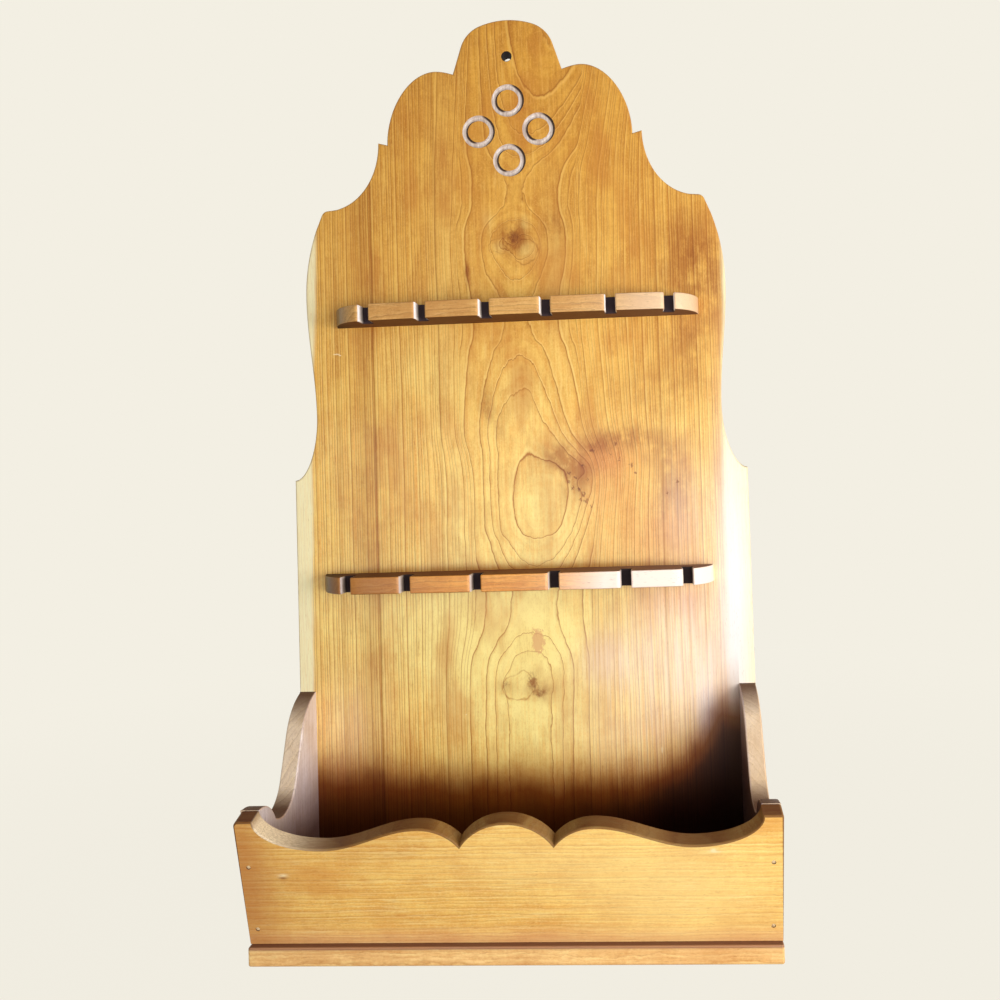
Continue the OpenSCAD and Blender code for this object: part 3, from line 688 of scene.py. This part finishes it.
boardWood, grooveWood = makeBoardWood(), makeGrooveWood()
frontWood, sideWood = makePlankWood("frontWood", frontLook), makePlankWood("sideWood", sideLook)
floorWood = makePlankWood("floorWood", floorLook)
upperWood, lowerWood = makePlankWood("upperRailWood", upperLook), makePlankWood("lowerRailWood", lowerLook)
screwSteel = makeSteel("screwSteel", srgb(206, 200, 186), srgb(160, 154, 142), srgb(110, 84, 58), 1.0)
bradSteel = makeSteel("bradSteel", srgb(250, 226, 184), srgb(224, 190, 140), srgb(164, 120, 78), 0.4)
print("materials made")

# Flat wooden pieces take their outlines from the CAD faces, and get eased edges.


def plateLoops(node, normal):
    # the rims of a node's outermost flat face, each with the wood on its left
    mesh = bmesh.new()
    mesh.from_mesh(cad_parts[node].data)
    bmesh.ops.remove_doubles(mesh, verts=mesh.verts, dist=0.001 * mm)
    mesh.normal_update()
    level = max(v.co.dot(normal) for v in mesh.verts)
    # a list and not a set, so that the rims come in the same order in each run
    flat = [f for f in mesh.faces if f.normal.dot(normal) > 0.9999
            and abs(f.calc_center_median().dot(normal) - level) < 0.02 * mm]
    following = {}
    for face in flat:
        for corner in face.loops:
            if not any(other in flat and other is not face for other in corner.edge.link_faces):
                following[corner.vert] = corner.link_loop_next.vert
    loops = []
    while following:
        at = next(iter(following))
        line = []
        while at in following:
            line.append(at.co.copy())
            at = following.pop(at)
        loops.append(line)
    mesh.free()
    return loops


sharpTurn = 18.0  # in degrees; an outline has a corner where it turns by more


def headings(points):
    # the way from each point of a closed line to the next, and how far that is
    ahead = np.roll(points, -1, 0) - points
    length = np.linalg.norm(ahead, axis=1)
    return ahead / length[:, None], length


def turnsOf(points):
    ahead, _ = headings(points)
    before = np.roll(ahead, 1, 0)
    cross = before[:, 0] * ahead[:, 1] - before[:, 1] * ahead[:, 0]
    return np.degrees(np.arctan2(cross, (before * ahead).sum(1)))


def refine(points, step):
    # adds points along the curved stretches, on a smooth line through those that are there
    slope, length = headings(points)
    turns, count = turnsOf(points), len(points)
    straight = [length[i] > 2.2 * min(length[i - 1], length[(i + 1) % count]) for i in range(count)]

    def tangent(i):
        before, after = (i - 1) % count, i
        if abs(turns[i]) > sharpTurn:
            return None
        if straight[before] or straight[after]:
            return slope[before] if straight[before] else slope[after]
        mixed = slope[before] * length[after] + slope[after] * length[before]
        return mixed / np.linalg.norm(mixed)

    made = []
    for i in range(count):
        j = (i + 1) % count
        made.append(points[i])
        start, end = tangent(i), tangent(j)
        if straight[i] or (start is None and end is None) or length[i] < step * 1.3:
            continue
        start = 2 * np.dot(slope[i], end) * slope[i] - end if start is None else start
        end = 2 * np.dot(slope[i], start) * slope[i] - start if end is None else end
        parts = max(2, math.ceil(length[i] / step))
        for k in range(1, parts):
            t = k / parts
            made.append((2 * t**3 - 3 * t**2 + 1) * points[i] + (t**3 - 2 * t**2 + t) * length[i] * start
                        + (3 * t**2 - 2 * t**3) * points[j] + (t**3 - t**2) * length[i] * end)
    return np.array(made)


def roundCorners(points, sizeAt):
    # turns sharp corners into small arcs; sizeAt gives the radius from the place, the turn and the way on
    turns, count = turnsOf(points), len(points)
    made = []
    for i in range(count):
        into, out = points[i] - points[i - 1], points[(i + 1) % count] - points[i]
        radius = sizeAt(points[i], turns[i], out) if abs(turns[i]) > sharpTurn else 0
        if radius <= 0:
            made.append(points[i])
            continue
        lengthIn, lengthOut = np.linalg.norm(into), np.linalg.norm(out)
        into, out = into / lengthIn, out / lengthOut
        half = math.radians(abs(turns[i])) / 2
        room = [0.48 if abs(turns[j]) > sharpTurn else 0.92 for j in (i - 1, (i + 1) % count)]
        cut = min(radius * math.tan(half), room[0] * lengthIn, room[1] * lengthOut)
        radius = cut / math.tan(half)
        side = np.array([-into[1], into[0]]) * math.copysign(1, turns[i])
        centre = points[i] - into * cut + side * radius
        parts = max(2, math.ceil(abs(turns[i]) / 12))
        for k in range(parts + 1):
            angle = 2 * half * k / parts
            made.append(centre - side * radius * math.cos(angle) + into * radius * math.sin(angle))
    return np.array(made)


def clearCorners(points, reachAt):
    # takes points out that stand too near a sharp outer corner for the easing there
    turns = turnsOf(points)
    sharp = [(point, reachAt(point, turn)) for point, turn in zip(points, turns) if turn > sharpTurn]
    keep = [abs(turn) > sharpTurn or all(np.linalg.norm(point - one) > reach for one, reach in sharp)
            for point, turn in zip(points, turns)]
    return points[keep]


def miters(points):
    # how each point moves when the outline shrinks by one
    ahead, _ = headings(points)
    inward = np.stack([-ahead[:, 1], ahead[:, 0]], 1)
    before = np.roll(inward, 1, 0)
    total = inward + before
    return total / np.maximum(1 + (inward * before).sum(1), 0.25)[:, None]


def circlePoints(centre, radius, count):
    # clockwise, so that the wood outside the circle is on the left
    angles = -2 * math.pi * np.arange(count) / count
    return np.stack([centre[0] + radius * np.cos(angles), centre[1] + radius * np.sin(angles)], 1)


def capTriangles(loops):
    # fills a flat face between its rims
    points, edges = [], []
    for loop in loops:
        first = len(points)
        points += [Vector(p) for p in loop]
        edges += [(first + i, first + (i + 1) % len(loop)) for i in range(len(loop))]
    verts, _, faces, origins, _, _ = delaunay_2d_cdt(points, edges, [], 0, 1e-9)
    crossed = [tuple(v) for v, origin in zip(verts, origins) if not origin]
    assert not crossed, crossed[:8]
    middles = np.array([[sum(verts[i].x for i in f) / 3, sum(verts[i].y for i in f) / 3] for f in faces])
    inside = np.zeros(len(faces), bool)
    for loop in loops:
        for a, b in zip(loop, np.roll(loop, -1, 0)):
            spans = (a[1] > middles[:, 1]) != (b[1] > middles[:, 1])
            if a[1] != b[1]:
                crossing = (b[0] - a[0]) * (middles[:, 1] - a[1]) / (b[1] - a[1]) + a[0]
                inside ^= spans & (middles[:, 0] < crossing)
    return [[origins[i][0] for i in f] for f, kept in zip(faces, inside) if kept]


def slotDepth(outline, rear, depth):
    # 0 on a rail's front edge and 1 at the bottom of a slot, with the front towards -y
    away = outline[:, 0][None, :] - outline[:, 0][:, None]
    front = [np.where((side > -0.01) & (side < 9.8), outline[:, 1], np.inf).min(1) for side in (away, -away)]
    between = np.clip(outline[:, 1] - np.maximum(*front), 0, 1)
    inside = between * np.clip((outline[:, 1] - np.minimum(*front)) / depth, 0, 1)
    return np.where(outline[:, 1] > rear - 4, 0.0, inside)


def roundRim(loop):
    # the centre and the radius of a round rim
    return loop.mean(0), np.linalg.norm(loop - loop.mean(0), axis=1).mean()


def closeness(name, faces):
    # every edge of a closed solid is used once each way
    edges = {(a, b) for face in faces for a, b in zip(face, face[1:] + face[:1])}
    loose = sum((b, a) not in edges for a, b in edges)
    print(f"{name}: {len(faces)} faces, {loose} open edges")


def pieceName(node):
    # back_board becomes backBoard
    first, *others = node.split("_")
    return first + "".join(word.title() for word in others)


detail = {
    "leastEase": 0.12,  # mm of easing that even the sharpest edge has
    "widestTurn": 140,  # degrees of turn up to which a corner is kept clear
    "largestBore": 8.0, "easeParts": 4, "boreSides": 40, "grooveSides": 72, "sharpAngle": 38,
}


class Plate:
    # a plate in the making: its vertices, its faces and what the shaders read from their corners
    def __init__(self, piece):
        # piece["normal"] points out of the plate's front, where its rims and holes are read
        self.piece, self.normal = piece, Vector(piece["normal"]).normalized()
        self.across = Vector(piece["across"])
        self.upward = self.normal.cross(self.across)
        heights = [v.co.dot(self.normal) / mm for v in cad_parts[piece["node"]].data.vertices]
        self.level = max(heights)
        self.thick = piece.get("thick", self.level - min(heights))
        self.vertices, self.faces, self.kinds, self.wear, self.shadeMask = [], [], [], [], []
        self.frontRims, self.backRims = [], []

    def flatten(self, loop):
        return np.array([(p.dot(self.across) / mm, p.dot(self.upward) / mm) for p in loop])

    def place(self, p, depth=0.0):
        return self.across * p[0] + self.upward * p[1] + self.normal * (self.level - depth)

    def easingAt(self, p):
        return max(detail["leastEase"], min(self.piece["ease"], self.piece["easeAt"](self.place(p))))

    def smoothed(self, outline):
        def reachAt(p, turn):
            spread = math.tan(math.radians(min(turn, detail["widestTurn"])) / 2)
            return max(self.piece.get("clear", 0), 0.3 + 1.2 * self.easingAt(p) * spread)

        def radiusAt(p, turn, ahead):
            return self.piece["cornerAt"](self.place(p), turn, ahead)

        return roundCorners(clearCorners(refine(outline, self.piece["step"]), reachAt), radiusAt)

    def put(self, points, depth, edge=0.0, hide=0.0):
        first = len(self.vertices)
        for point, deep in zip(points, np.broadcast_to(depth, len(points))):
            self.vertices.append(self.place(point, deep) * mm)
        self.wear.extend(np.broadcast_to(edge, len(points)))
        self.shadeMask.extend(np.broadcast_to(hide, len(points)))
        return list(range(first, len(self.vertices)))

    def wall(self, rings, kind):
        for upper, lower in zip(rings, rings[1:]):
            for i in range(len(upper)):
                j = (i + 1) % len(upper)
                self.faces.append((upper[i], lower[i], lower[j], upper[j]))
                self.kinds.append(kind)

    def addSides(self, outline):
        piece, parts = self.piece, detail["easeParts"]
        easing = np.array([self.easingAt(p) for p in outline])
        miter = miters(outline)
        foot = outline[:, 1] < outline[:, 1].min() + 0.3
        # painted shade in the rail slots, deepening towards their bottoms
        inSlot = slotDepth(outline, faceY / mm, piece["slotDepth"]) if "slotDepth" in piece else 0.0
        angles = [math.pi / 2 * k / parts for k in range(parts + 1)]
        rings = []
        for depthOf, steps in ((lambda d: d, angles), (lambda d: self.thick - d, angles[::-1])):
            for angle in steps:
                depth = depthOf(easing * (1 - math.sin(math.pi / 2 - angle)))
                shape = outline + miter * (easing * (1 - math.sin(angle)))[:, None]
                shape[foot, 1] -= depth[foot] * piece.get("footSlope", 0.0)
                rings.append(self.put(shape, depth, math.sin(2 * angle) * easing / piece["ease"], inSlot))
        self.wall(rings, "side")
        self.frontRims.append(rings[0])
        self.backRims.append(rings[-1])

    def addBore(self, centre, near, far):
        shape, sides = self.piece["bore"](near, far, self.thick), detail["boreSides"]
        # the bore's walls carry painted shade
        rings = [self.put(circlePoints(centre, radius, sides), depth, 0.0, self.piece["boreShade"])
                 for radius, depth in shape]
        self.wall(rings, "bore")
        self.frontRims.append(rings[0])
        self.backRims.append(rings[-1])

    def addGroove(self, centre):
        rings = []
        for outwards, depth in self.piece["grooveShape"]:
            rim = circlePoints(centre, self.piece["grooveRadius"] + outwards, detail["grooveSides"])
            # painted shade on the groove walls turned from the light at the right: the outer wall on the
            # right side and the inner wall on the left
            facing = (rim - centre)[:, 0] / np.linalg.norm(rim - centre, axis=1)
            rings.append(self.put(rim, depth, 0.0, np.clip(outwards * facing, 0, 1)))
        self.wall(rings, "groove")
        self.frontRims += [rings[0], rings[-1]]

    def addFlat(self, rims, turned):
        order = [i for ring in rims for i in ring]
        for triangle in capTriangles([self.flatten([self.vertices[i] for i in ring]) for ring in rims]):
            corners = [order[i] for i in triangle]
            a, b, c = (self.vertices[i] for i in corners)
            if ((b - a).cross(c - a).dot(self.normal) > 0) == turned:
                corners.reverse()
            self.faces.append(tuple(corners))
            self.kinds.append("flat")

    def toMesh(self, name):
        mesh = bpy.data.meshes.new(name)
        mesh.from_pydata(self.vertices, [], self.faces)
        for material in self.piece["materials"]:
            mesh.materials.append(material)
        mesh.polygons.foreach_set("material_index", [int(kind == "groove") for kind in self.kinds])
        # faces that lie flat are darkened, partly as dust and partly as painted shade, and the cut edges of
        # some pieces are darkened too
        flatness = np.array([abs(polygon.normal.z) for polygon in mesh.polygons])
        flatDarkening = np.clip((flatness - 0.55) / 0.4, 0.0, 1.0)
        dirt = np.where(np.array(self.kinds) == "side", self.piece.get("cutEdgeDarkening", 0.0), 0.0)
        corners = [(i, kind, amount) for face, kind, amount
                   in zip(self.faces, self.kinds, np.maximum(flatDarkening, dirt)) for i in face]
        perCorner = {"edge": [self.wear[i] for i, _, _ in corners],
                     "shadeMask": [0.0 if kind == "flat" else self.shadeMask[i] for i, kind, _ in corners],
                     "dustAndShade": [amount for _, _, amount in corners]}
        for title, values in perCorner.items():
            data = mesh.attributes.new(title, "FLOAT", "CORNER").data
            data.foreach_set("value", np.array(values, np.float32))
        mesh.shade_smooth()
        mesh.set_sharp_from_angle(angle=math.radians(detail["sharpAngle"]))
        return mesh


def easedPlate(piece):
    name, plate = pieceName(piece["node"]), Plate(piece)
    fronts = [plate.flatten(loop) for loop in plateLoops(piece["node"], plate.normal)]
    behind = [roundRim(plate.flatten(loop)) for loop in plateLoops(piece["node"], -plate.normal)]
    outline = max(fronts, key=lambda loop: np.ptp(loop[:, 0]) * np.ptp(loop[:, 1]))
    plate.addSides(plate.smoothed(outline))
    for centre, near in (roundRim(loop) for loop in fronts if loop is not outline):
        match = [far for c, far in behind
                 if np.linalg.norm(c - centre) < 1 and max(near, far) < detail["largestBore"]]
        if match and "bore" in piece:
            plate.addBore(centre, near, match[0])
    for centre in piece.get("grooves", []):
        plate.addGroove(centre)
    plate.addFlat(plate.frontRims, False)
    plate.addFlat(plate.backRims, True)
    closeness(name, plate.faces)
    made = linked(name, plate.toMesh(name))
    shading = made.modifiers.new("evenShading", "WEIGHTED_NORMAL")
    shading.keep_sharp, shading.weight = True, 100
    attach(made, "root")
    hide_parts(piece["node"])


def screwBore(near, far, thick):
    # from the front: clearance for the shank, then the countersink for the head
    # a hole that is even all through gets eased rims instead
    if abs(near - far) < 0.05:
        lip = 0.35
        return [(near + lip, 0), (near + 0.3 * lip, 0.3 * lip), (near, lip), (near, thick - lip),
                (near + 0.3 * lip, thick - 0.3 * lip), (near + lip, thick)]
    return [(near, 0), (near, thick - 0.3 - (far - near)), (far, thick - 0.3), (far, thick)]


def bradBore(near, far, thick):
    return [(near, 0), (near, 1.1), (far, 1.1), (far, thick)]


ringPlaces = {"drop": 76.0, "spread": 20.4, "radius": 9.2}
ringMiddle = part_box("back_board")[1].z / mm - ringPlaces["drop"]
ringCentres = [(ringPlaces["spread"] * math.cos(a), ringMiddle + ringPlaces["spread"] * math.sin(a))
               for a in (0, math.pi / 2, math.pi, 3 * math.pi / 2)]
grooveHalf = [(1.9, 0.0), (1.84, 0.14), (1.72, 0.5), (1.4, 1.0), (1.0, 1.36), (0.5, 1.56), (0.0, 1.62)]
grooveShape = grooveHalf + [(-half, depth) for half, depth in grooveHalf[-2::-1]]

backBoard = {
    "node": "back_board", "slot": "board_wood", "normal": (0, -1, 0), "across": (1, 0, 0), "thick": thickness,
    "materials": [boardWood, grooveWood], "ease": 1.3, "step": 1.6, "bore": screwBore,
    "boreShade": 1.0, "easeAt": lambda p: 0.5 if p.z < 135 else 1.3,
    "cornerAt": lambda p, turn, ahead: 0.0,
    "grooves": ringCentres, "grooveRadius": ringPlaces["radius"], "grooveShape": grooveShape,
}
easedPlate(backBoard)


def railReach(p):
    return faceY / mm - p.y


rail = {
    "slot": "rail_wood", "normal": (0, 0, 1), "across": (1, 0, 0), "ease": 0.7, "step": 1.4,
    "clear": 3.0, "slotDepth": 12.0, "easeAt": lambda p: 0.15 + 0.55 * railReach(p),
    "cornerAt": lambda p, turn, ahead: (
        0.0 if railReach(p) < 5 else 2.8 if turn > 60 and ahead[1] > 3 else 1.0),
}
easedPlate(dict(rail, node="upper_rail", materials=[upperWood]))
easedPlate(dict(rail, node="lower_rail", materials=[lowerWood]))


def slantGap(p):
    # how far a point of a side panel lies behind the slanted edge
    behind = p.y - (footFront + thickness / math.cos(lean))
    return behind * math.cos(lean) + (p.z - floorTop / mm) * math.sin(lean)


sidePanel = {
    "slot": "board_wood", "materials": [sideWood], "ease": 1.1, "step": 1.4,
    "easeAt": lambda p: 0.12 + 0.6 * min(faceY / mm - p.y, p.z - floorTop / mm, slantGap(p)),
    "cornerAt": lambda p, turn, ahead: 0.0,
}
easedPlate(dict(sidePanel, node="side_left", normal=(-1, 0, 0), across=(0, -1, 0)))
easedPlate(dict(sidePanel, node="side_right", normal=(1, 0, 0), across=(0, 1, 0)))

frontBoard = {
    "node": "front_board", "slot": "board_wood", "normal": (0, -math.cos(lean), -math.sin(lean)),
    "across": (1, 0, 0), "materials": [frontWood], "thick": thickness, "ease": 1.0, "step": 1.4,
    "cutEdgeDarkening": 0.85, "bore": bradBore, "boreShade": 0.2, "footSlope": math.tan(lean),
    "easeAt": lambda p: 0.12 if p.z < 12 else 0.5 if p.z < 80 and abs(p.x) > 150 else 1.0,
    "cornerAt": lambda p, turn, ahead: 0.0 if p.z < 20 or abs(p.x) < 150 else 3.0 if p.x < 0 else 1.5,
}
easedPlate(frontBoard)

floorBoard = {
    "node": "floor_board", "slot": "board_wood", "normal": (0, 0, -1), "across": (1, 0, 0),
    "materials": [floorWood], "ease": 1.2, "step": 1.6, "bore": bradBore, "boreShade": 0.2,
    "easeAt": lambda p: 0.15 if p.y > faceY / mm - 2 else 1.2,
    "cornerAt": lambda p, turn, ahead: 1.6 if p.y < 0 else 0.0,
}
easedPlate(floorBoard)
print("wooden pieces made")

# Screws and brads are turned shapes on the places that the holes give. Sizes are in millimetres.

screwShape = {
    "Head radius": 3.5, "Head height": 1.75, "Shank radius": 1.75, "Length": 27.0, "Point": 1.75, "Sink": 0.3,
    "Dome": 0.0, "Slot width": 1.2, "Slot depth": 1.3, "Slotted": True,
}
bradShape = {
    "Head radius": 1.2, "Head height": 0.8, "Shank radius": 0.8, "Length": 25.0, "Point": 1.6, "Sink": 0.3,
    "Dome": 0.12, "Slot width": 0.0, "Slot depth": 0.0, "Slotted": False,
}


def makeFastenerTree():
    tree = bpy.data.node_groups.new("turnedFastener", "GeometryNodeTree")
    kinds = {"Geometry": "Geometry", **{title: "Float" for title in bradShape}, "Slotted": "Bool",
             "Direction": "Vector", "Seed": "Int", "Metal": "Material"}
    for title, kind in kinds.items():
        tree.interface.new_socket(name=title, in_out="INPUT", socket_type="NodeSocket" + kind)
    tree.interface.new_socket(name="Geometry", in_out="OUTPUT", socket_type="NodeSocketGeometry")
    given = wiresOf(tree.nodes.new("NodeGroupInput").outputs)

    def geo(kind, inputs=None, output=0, **settings):
        return addNode(tree, "GeometryNode" + kind, inputs, output, **settings)

    sink, head, shank, dome = (given[title] for title in ("Sink", "Head radius", "Shank radius", "Dome"))
    neck = sink + given["Head height"]
    profile = [  # place along the axis and radius, from the middle of the head to the point
        (sink, 0.0), (sink + 0.01, head * 0.6), (sink + (dome + 0.02), head - 0.1),
        (sink + (dome + 0.1), head), (neck, shank), (neck + 0.05, shank),
        (given["Length"] - given["Point"], shank), (given["Length"], 0.0)]
    index = geo("InputIndex")
    choices = []
    for column in zip(*profile):
        pick = geo("IndexSwitch", data_type="FLOAT").socket.node
        while len(pick.index_switch_items) < len(profile):
            pick.index_switch_items.new()
        for number, value in enumerate((index,) + column):
            plug(pick.inputs[number], value)
        choices.append(Wire(pick.outputs[0]))
    along, radius = choices
    line = geo("MeshToCurve", {"Mesh": geo("MeshLine", {"Count": len(profile), "Offset": (0, 0, 1)})})
    shaped = geo("SetPosition", {"Geometry": line, "Position": combine(0.0, 0.0, along)})
    circle = geo("CurvePrimitiveCircle", {"Resolution": 28, "Radius": 1.0})
    body = geo("CurveToMesh", {"Curve": shaped, "Profile Curve": circle, "Scale": radius})
    closed = geo("MergeByDistance", {"Geometry": body, "Distance": 0.004})
    cube = geo("MeshCube", {"Size": combine(head * 2.4, given["Slot width"], given["Slot depth"] * 2.0)})
    cutter = geo("Transform", {"Geometry": cube, "Translation": combine(0.0, 0.0, sink)})
    cut = geo("MeshBoolean", {"Mesh 1": closed, "Mesh 2": cutter}, operation="DIFFERENCE", solver="EXACT")
    either = geo("Switch", {"Switch": given["Slotted"], "False": closed, "True": cut}, input_type="GEOMETRY")
    small = geo("Transform", {"Geometry": either, "Scale": (mm, mm, mm)})
    placed = geo("InstanceOnPoints", {
        "Points": given["Geometry"], "Instance": small, "Rotation": given["Direction"]})
    spin = addNode(tree, "FunctionNodeRandomValue", {"Seed": given["Seed"], 3: math.pi}, 1, data_type="FLOAT")
    turned = geo("RotateInstances", {"Instances": placed, "Rotation": combine(0.0, 0.0, spin)})
    real = geo("RealizeInstances", {"Geometry": turned})
    metal = geo("SetMaterial", {"Geometry": real, "Material": given["Metal"]})
    plug(tree.nodes.new("NodeGroupOutput").inputs[0], metal)
    return tree


fastenerTree = makeFastenerTree()


def makeFasteners(node, holes, direction, shape, metal, slot, seed):
    name = pieceName(node)
    low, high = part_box(node)
    room = 2 * mm
    places = [p for p in holes if all(low[i] - room < p[i] < high[i] + room for i in range(3))]
    points = bpy.data.meshes.new(name + "Places")
    points.from_pydata(places, [], [])
    made = linked(name + "Places", points)
    turned = made.modifiers.new("fasteners", "NODES")
    turned.node_group = fastenerTree
    wanted = dict(shape, Direction=direction, Seed=seed, Metal=metal)
    for item in fastenerTree.interface.items_tree:
        if item.in_out == "INPUT" and item.name in wanted:
            turned[item.identifier] = wanted[item.name]
    graph = bpy.context.evaluated_depsgraph_get()
    mesh = bpy.data.meshes.new_from_object(made.evaluated_get(graph), depsgraph=graph)
    bpy.data.objects.remove(made)
    mesh.name = name
    mesh.shade_smooth()
    mesh.set_sharp_from_angle(angle=math.radians(25))
    made = linked(name, mesh)
    print(f"{name}: {len(places)} turned, {len(mesh.polygons)} faces")
    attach(made, "root")
    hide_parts(node)


def holeCentres(node, normal):
    loops = plateLoops(node, Vector(normal).normalized())
    centres = [sum(loop, Vector()) / len(loop) for loop in loops]
    return [c for c, loop in zip(centres, loops) if max((p - c).length for p in loop) < 5 * mm]


screwHoles = holeCentres("back_board", (0, 1, 0))
frontHoles = holeCentres("front_board", frontBoard["normal"])
floorHoles = holeCentres("floor_board", (0, 0, -1))
forward, slanted, upright = (math.pi / 2, 0, 0), (lean - math.pi / 2, 0, 0), (0, 0, 0)
fasteners = [
    (screwHoles, forward, screwShape, screwSteel, "screw_steel", [
        "upper_rail_screws", "lower_rail_screws", "side_screws_left", "side_screws_right", "floor_screws"]),
    (frontHoles, slanted, bradShape, bradSteel, "brad_steel", ["front_brads_left", "front_brads_right"]),
    (floorHoles, upright, bradShape, bradSteel, "brad_steel", [
        "floor_brads_left", "floor_brads_right", "foot_brads"]),
]
seed = 3
for holes, direction, shape, metal, slot, nodes in fasteners:
    for node in nodes:
        makeFasteners(node, holes, direction, shape, metal, slot, seed)
        seed += 1
print("screws and brads made")

# The stage is a pale floor in a pale room, with a low window at the right, two plain lamps and one behind.

stage = {"colour": srgb(243, 239, 227), "half": 3.0, "near": 0.25, "far": 0.9, "nearShare": 0.97,
         "bounce": srgb(176, 172, 162)}
room = {"ambient": 0.20, "tint": (1.0, 0.975, 0.94, 1)}
lampTarget = Vector((0, 0, 0.26))
lamps = {
    "window": {"place": (0.54, -0.78, 0.21), "size": (0.7, 0.36), "energy": 5.2, "colour": (1.0, 0.99, 0.97)},
    "front": {"place": (-0.10, -0.95, 0.20), "size": (0.8, 0.36), "energy": 2.2, "colour": (1.0, 0.98, 0.95)},
    "side": {"place": (0.80, -0.35, 0.30), "size": (0.35, 0.40), "energy": 4.0, "colour": (1.0, 0.98, 0.95)},
    "behind": {"place": (0.0, 1.3, 0.30), "size": (0.6, 0.5), "energy": 11.0, "colour": (1.0, 0.97, 0.93)},
}


def seenDirectly(tree):
    rays = wiresOf(addNode(tree, "ShaderNodeLightPath").socket.node.outputs)
    return calc("MAXIMUM", calc("MAXIMUM", rays["Is Camera Ray"], rays["Is Glossy Ray"]),
                rays["Is Transmission Ray"])


def makeFloor():
    half = stage["half"]
    corners = [(-half, -half, 0), (half, -half, 0), (half, half, 0), (-half, half, 0)]
    mesh = bpy.data.meshes.new("studioFloor")
    mesh.from_pydata(corners, [], [(0, 1, 2, 3)])
    floor = linked("studioFloor", mesh)
    material, tree = newMaterial("studioFloor")
    away = vectorCalc("LENGTH", addNode(tree, "ShaderNodeTexCoord", output="Object"))
    share = seenDirectly(tree) * remap(away, stage["near"], stage["far"], stage["nearShare"])
    plain = addNode(tree, "ShaderNodeBsdfDiffuse", {"Color": stage["bounce"]})
    glow = addNode(tree, "ShaderNodeEmission", {"Color": stage["colour"], "Strength": 1.0})
    mixed = addNode(tree, "ShaderNodeMixShader", {0: share, 1: plain, 2: glow})
    addNode(tree, "ShaderNodeOutputMaterial", {"Surface": mixed})
    mesh.materials.append(material)


def makeRoom():
    world = bpy.data.worlds.new("paleRoom")
    world.use_nodes = True
    tree = world.node_tree
    tree.nodes.clear()
    lit = addNode(tree, "ShaderNodeBackground", {"Color": room["tint"], "Strength": room["ambient"]})
    shown = addNode(tree, "ShaderNodeBackground", {"Color": stage["colour"], "Strength": 1.0})
    mixed = addNode(tree, "ShaderNodeMixShader", {0: seenDirectly(tree), 1: lit, 2: shown})
    addNode(tree, "ShaderNodeOutputWorld", {"Surface": mixed})
    scene.world = world


def makeLamp(name, lamp):
    data = bpy.data.lights.new(name, "AREA")
    data.shape = "RECTANGLE"
    data.size, data.size_y = lamp["size"]
    data.energy, data.color = lamp["energy"], lamp["colour"]
    made = linked(name, data)
    made.location = lamp["place"]
    made.rotation_mode = "QUATERNION"
    made.rotation_quaternion = (lampTarget - Vector(lamp["place"])).to_track_quat("-Z", "Y")


makeFloor()
makeRoom()
for name, lamp in lamps.items():
    makeLamp(name, lamp)
scene.view_settings.view_transform = "Standard"
print("stage and light ready")
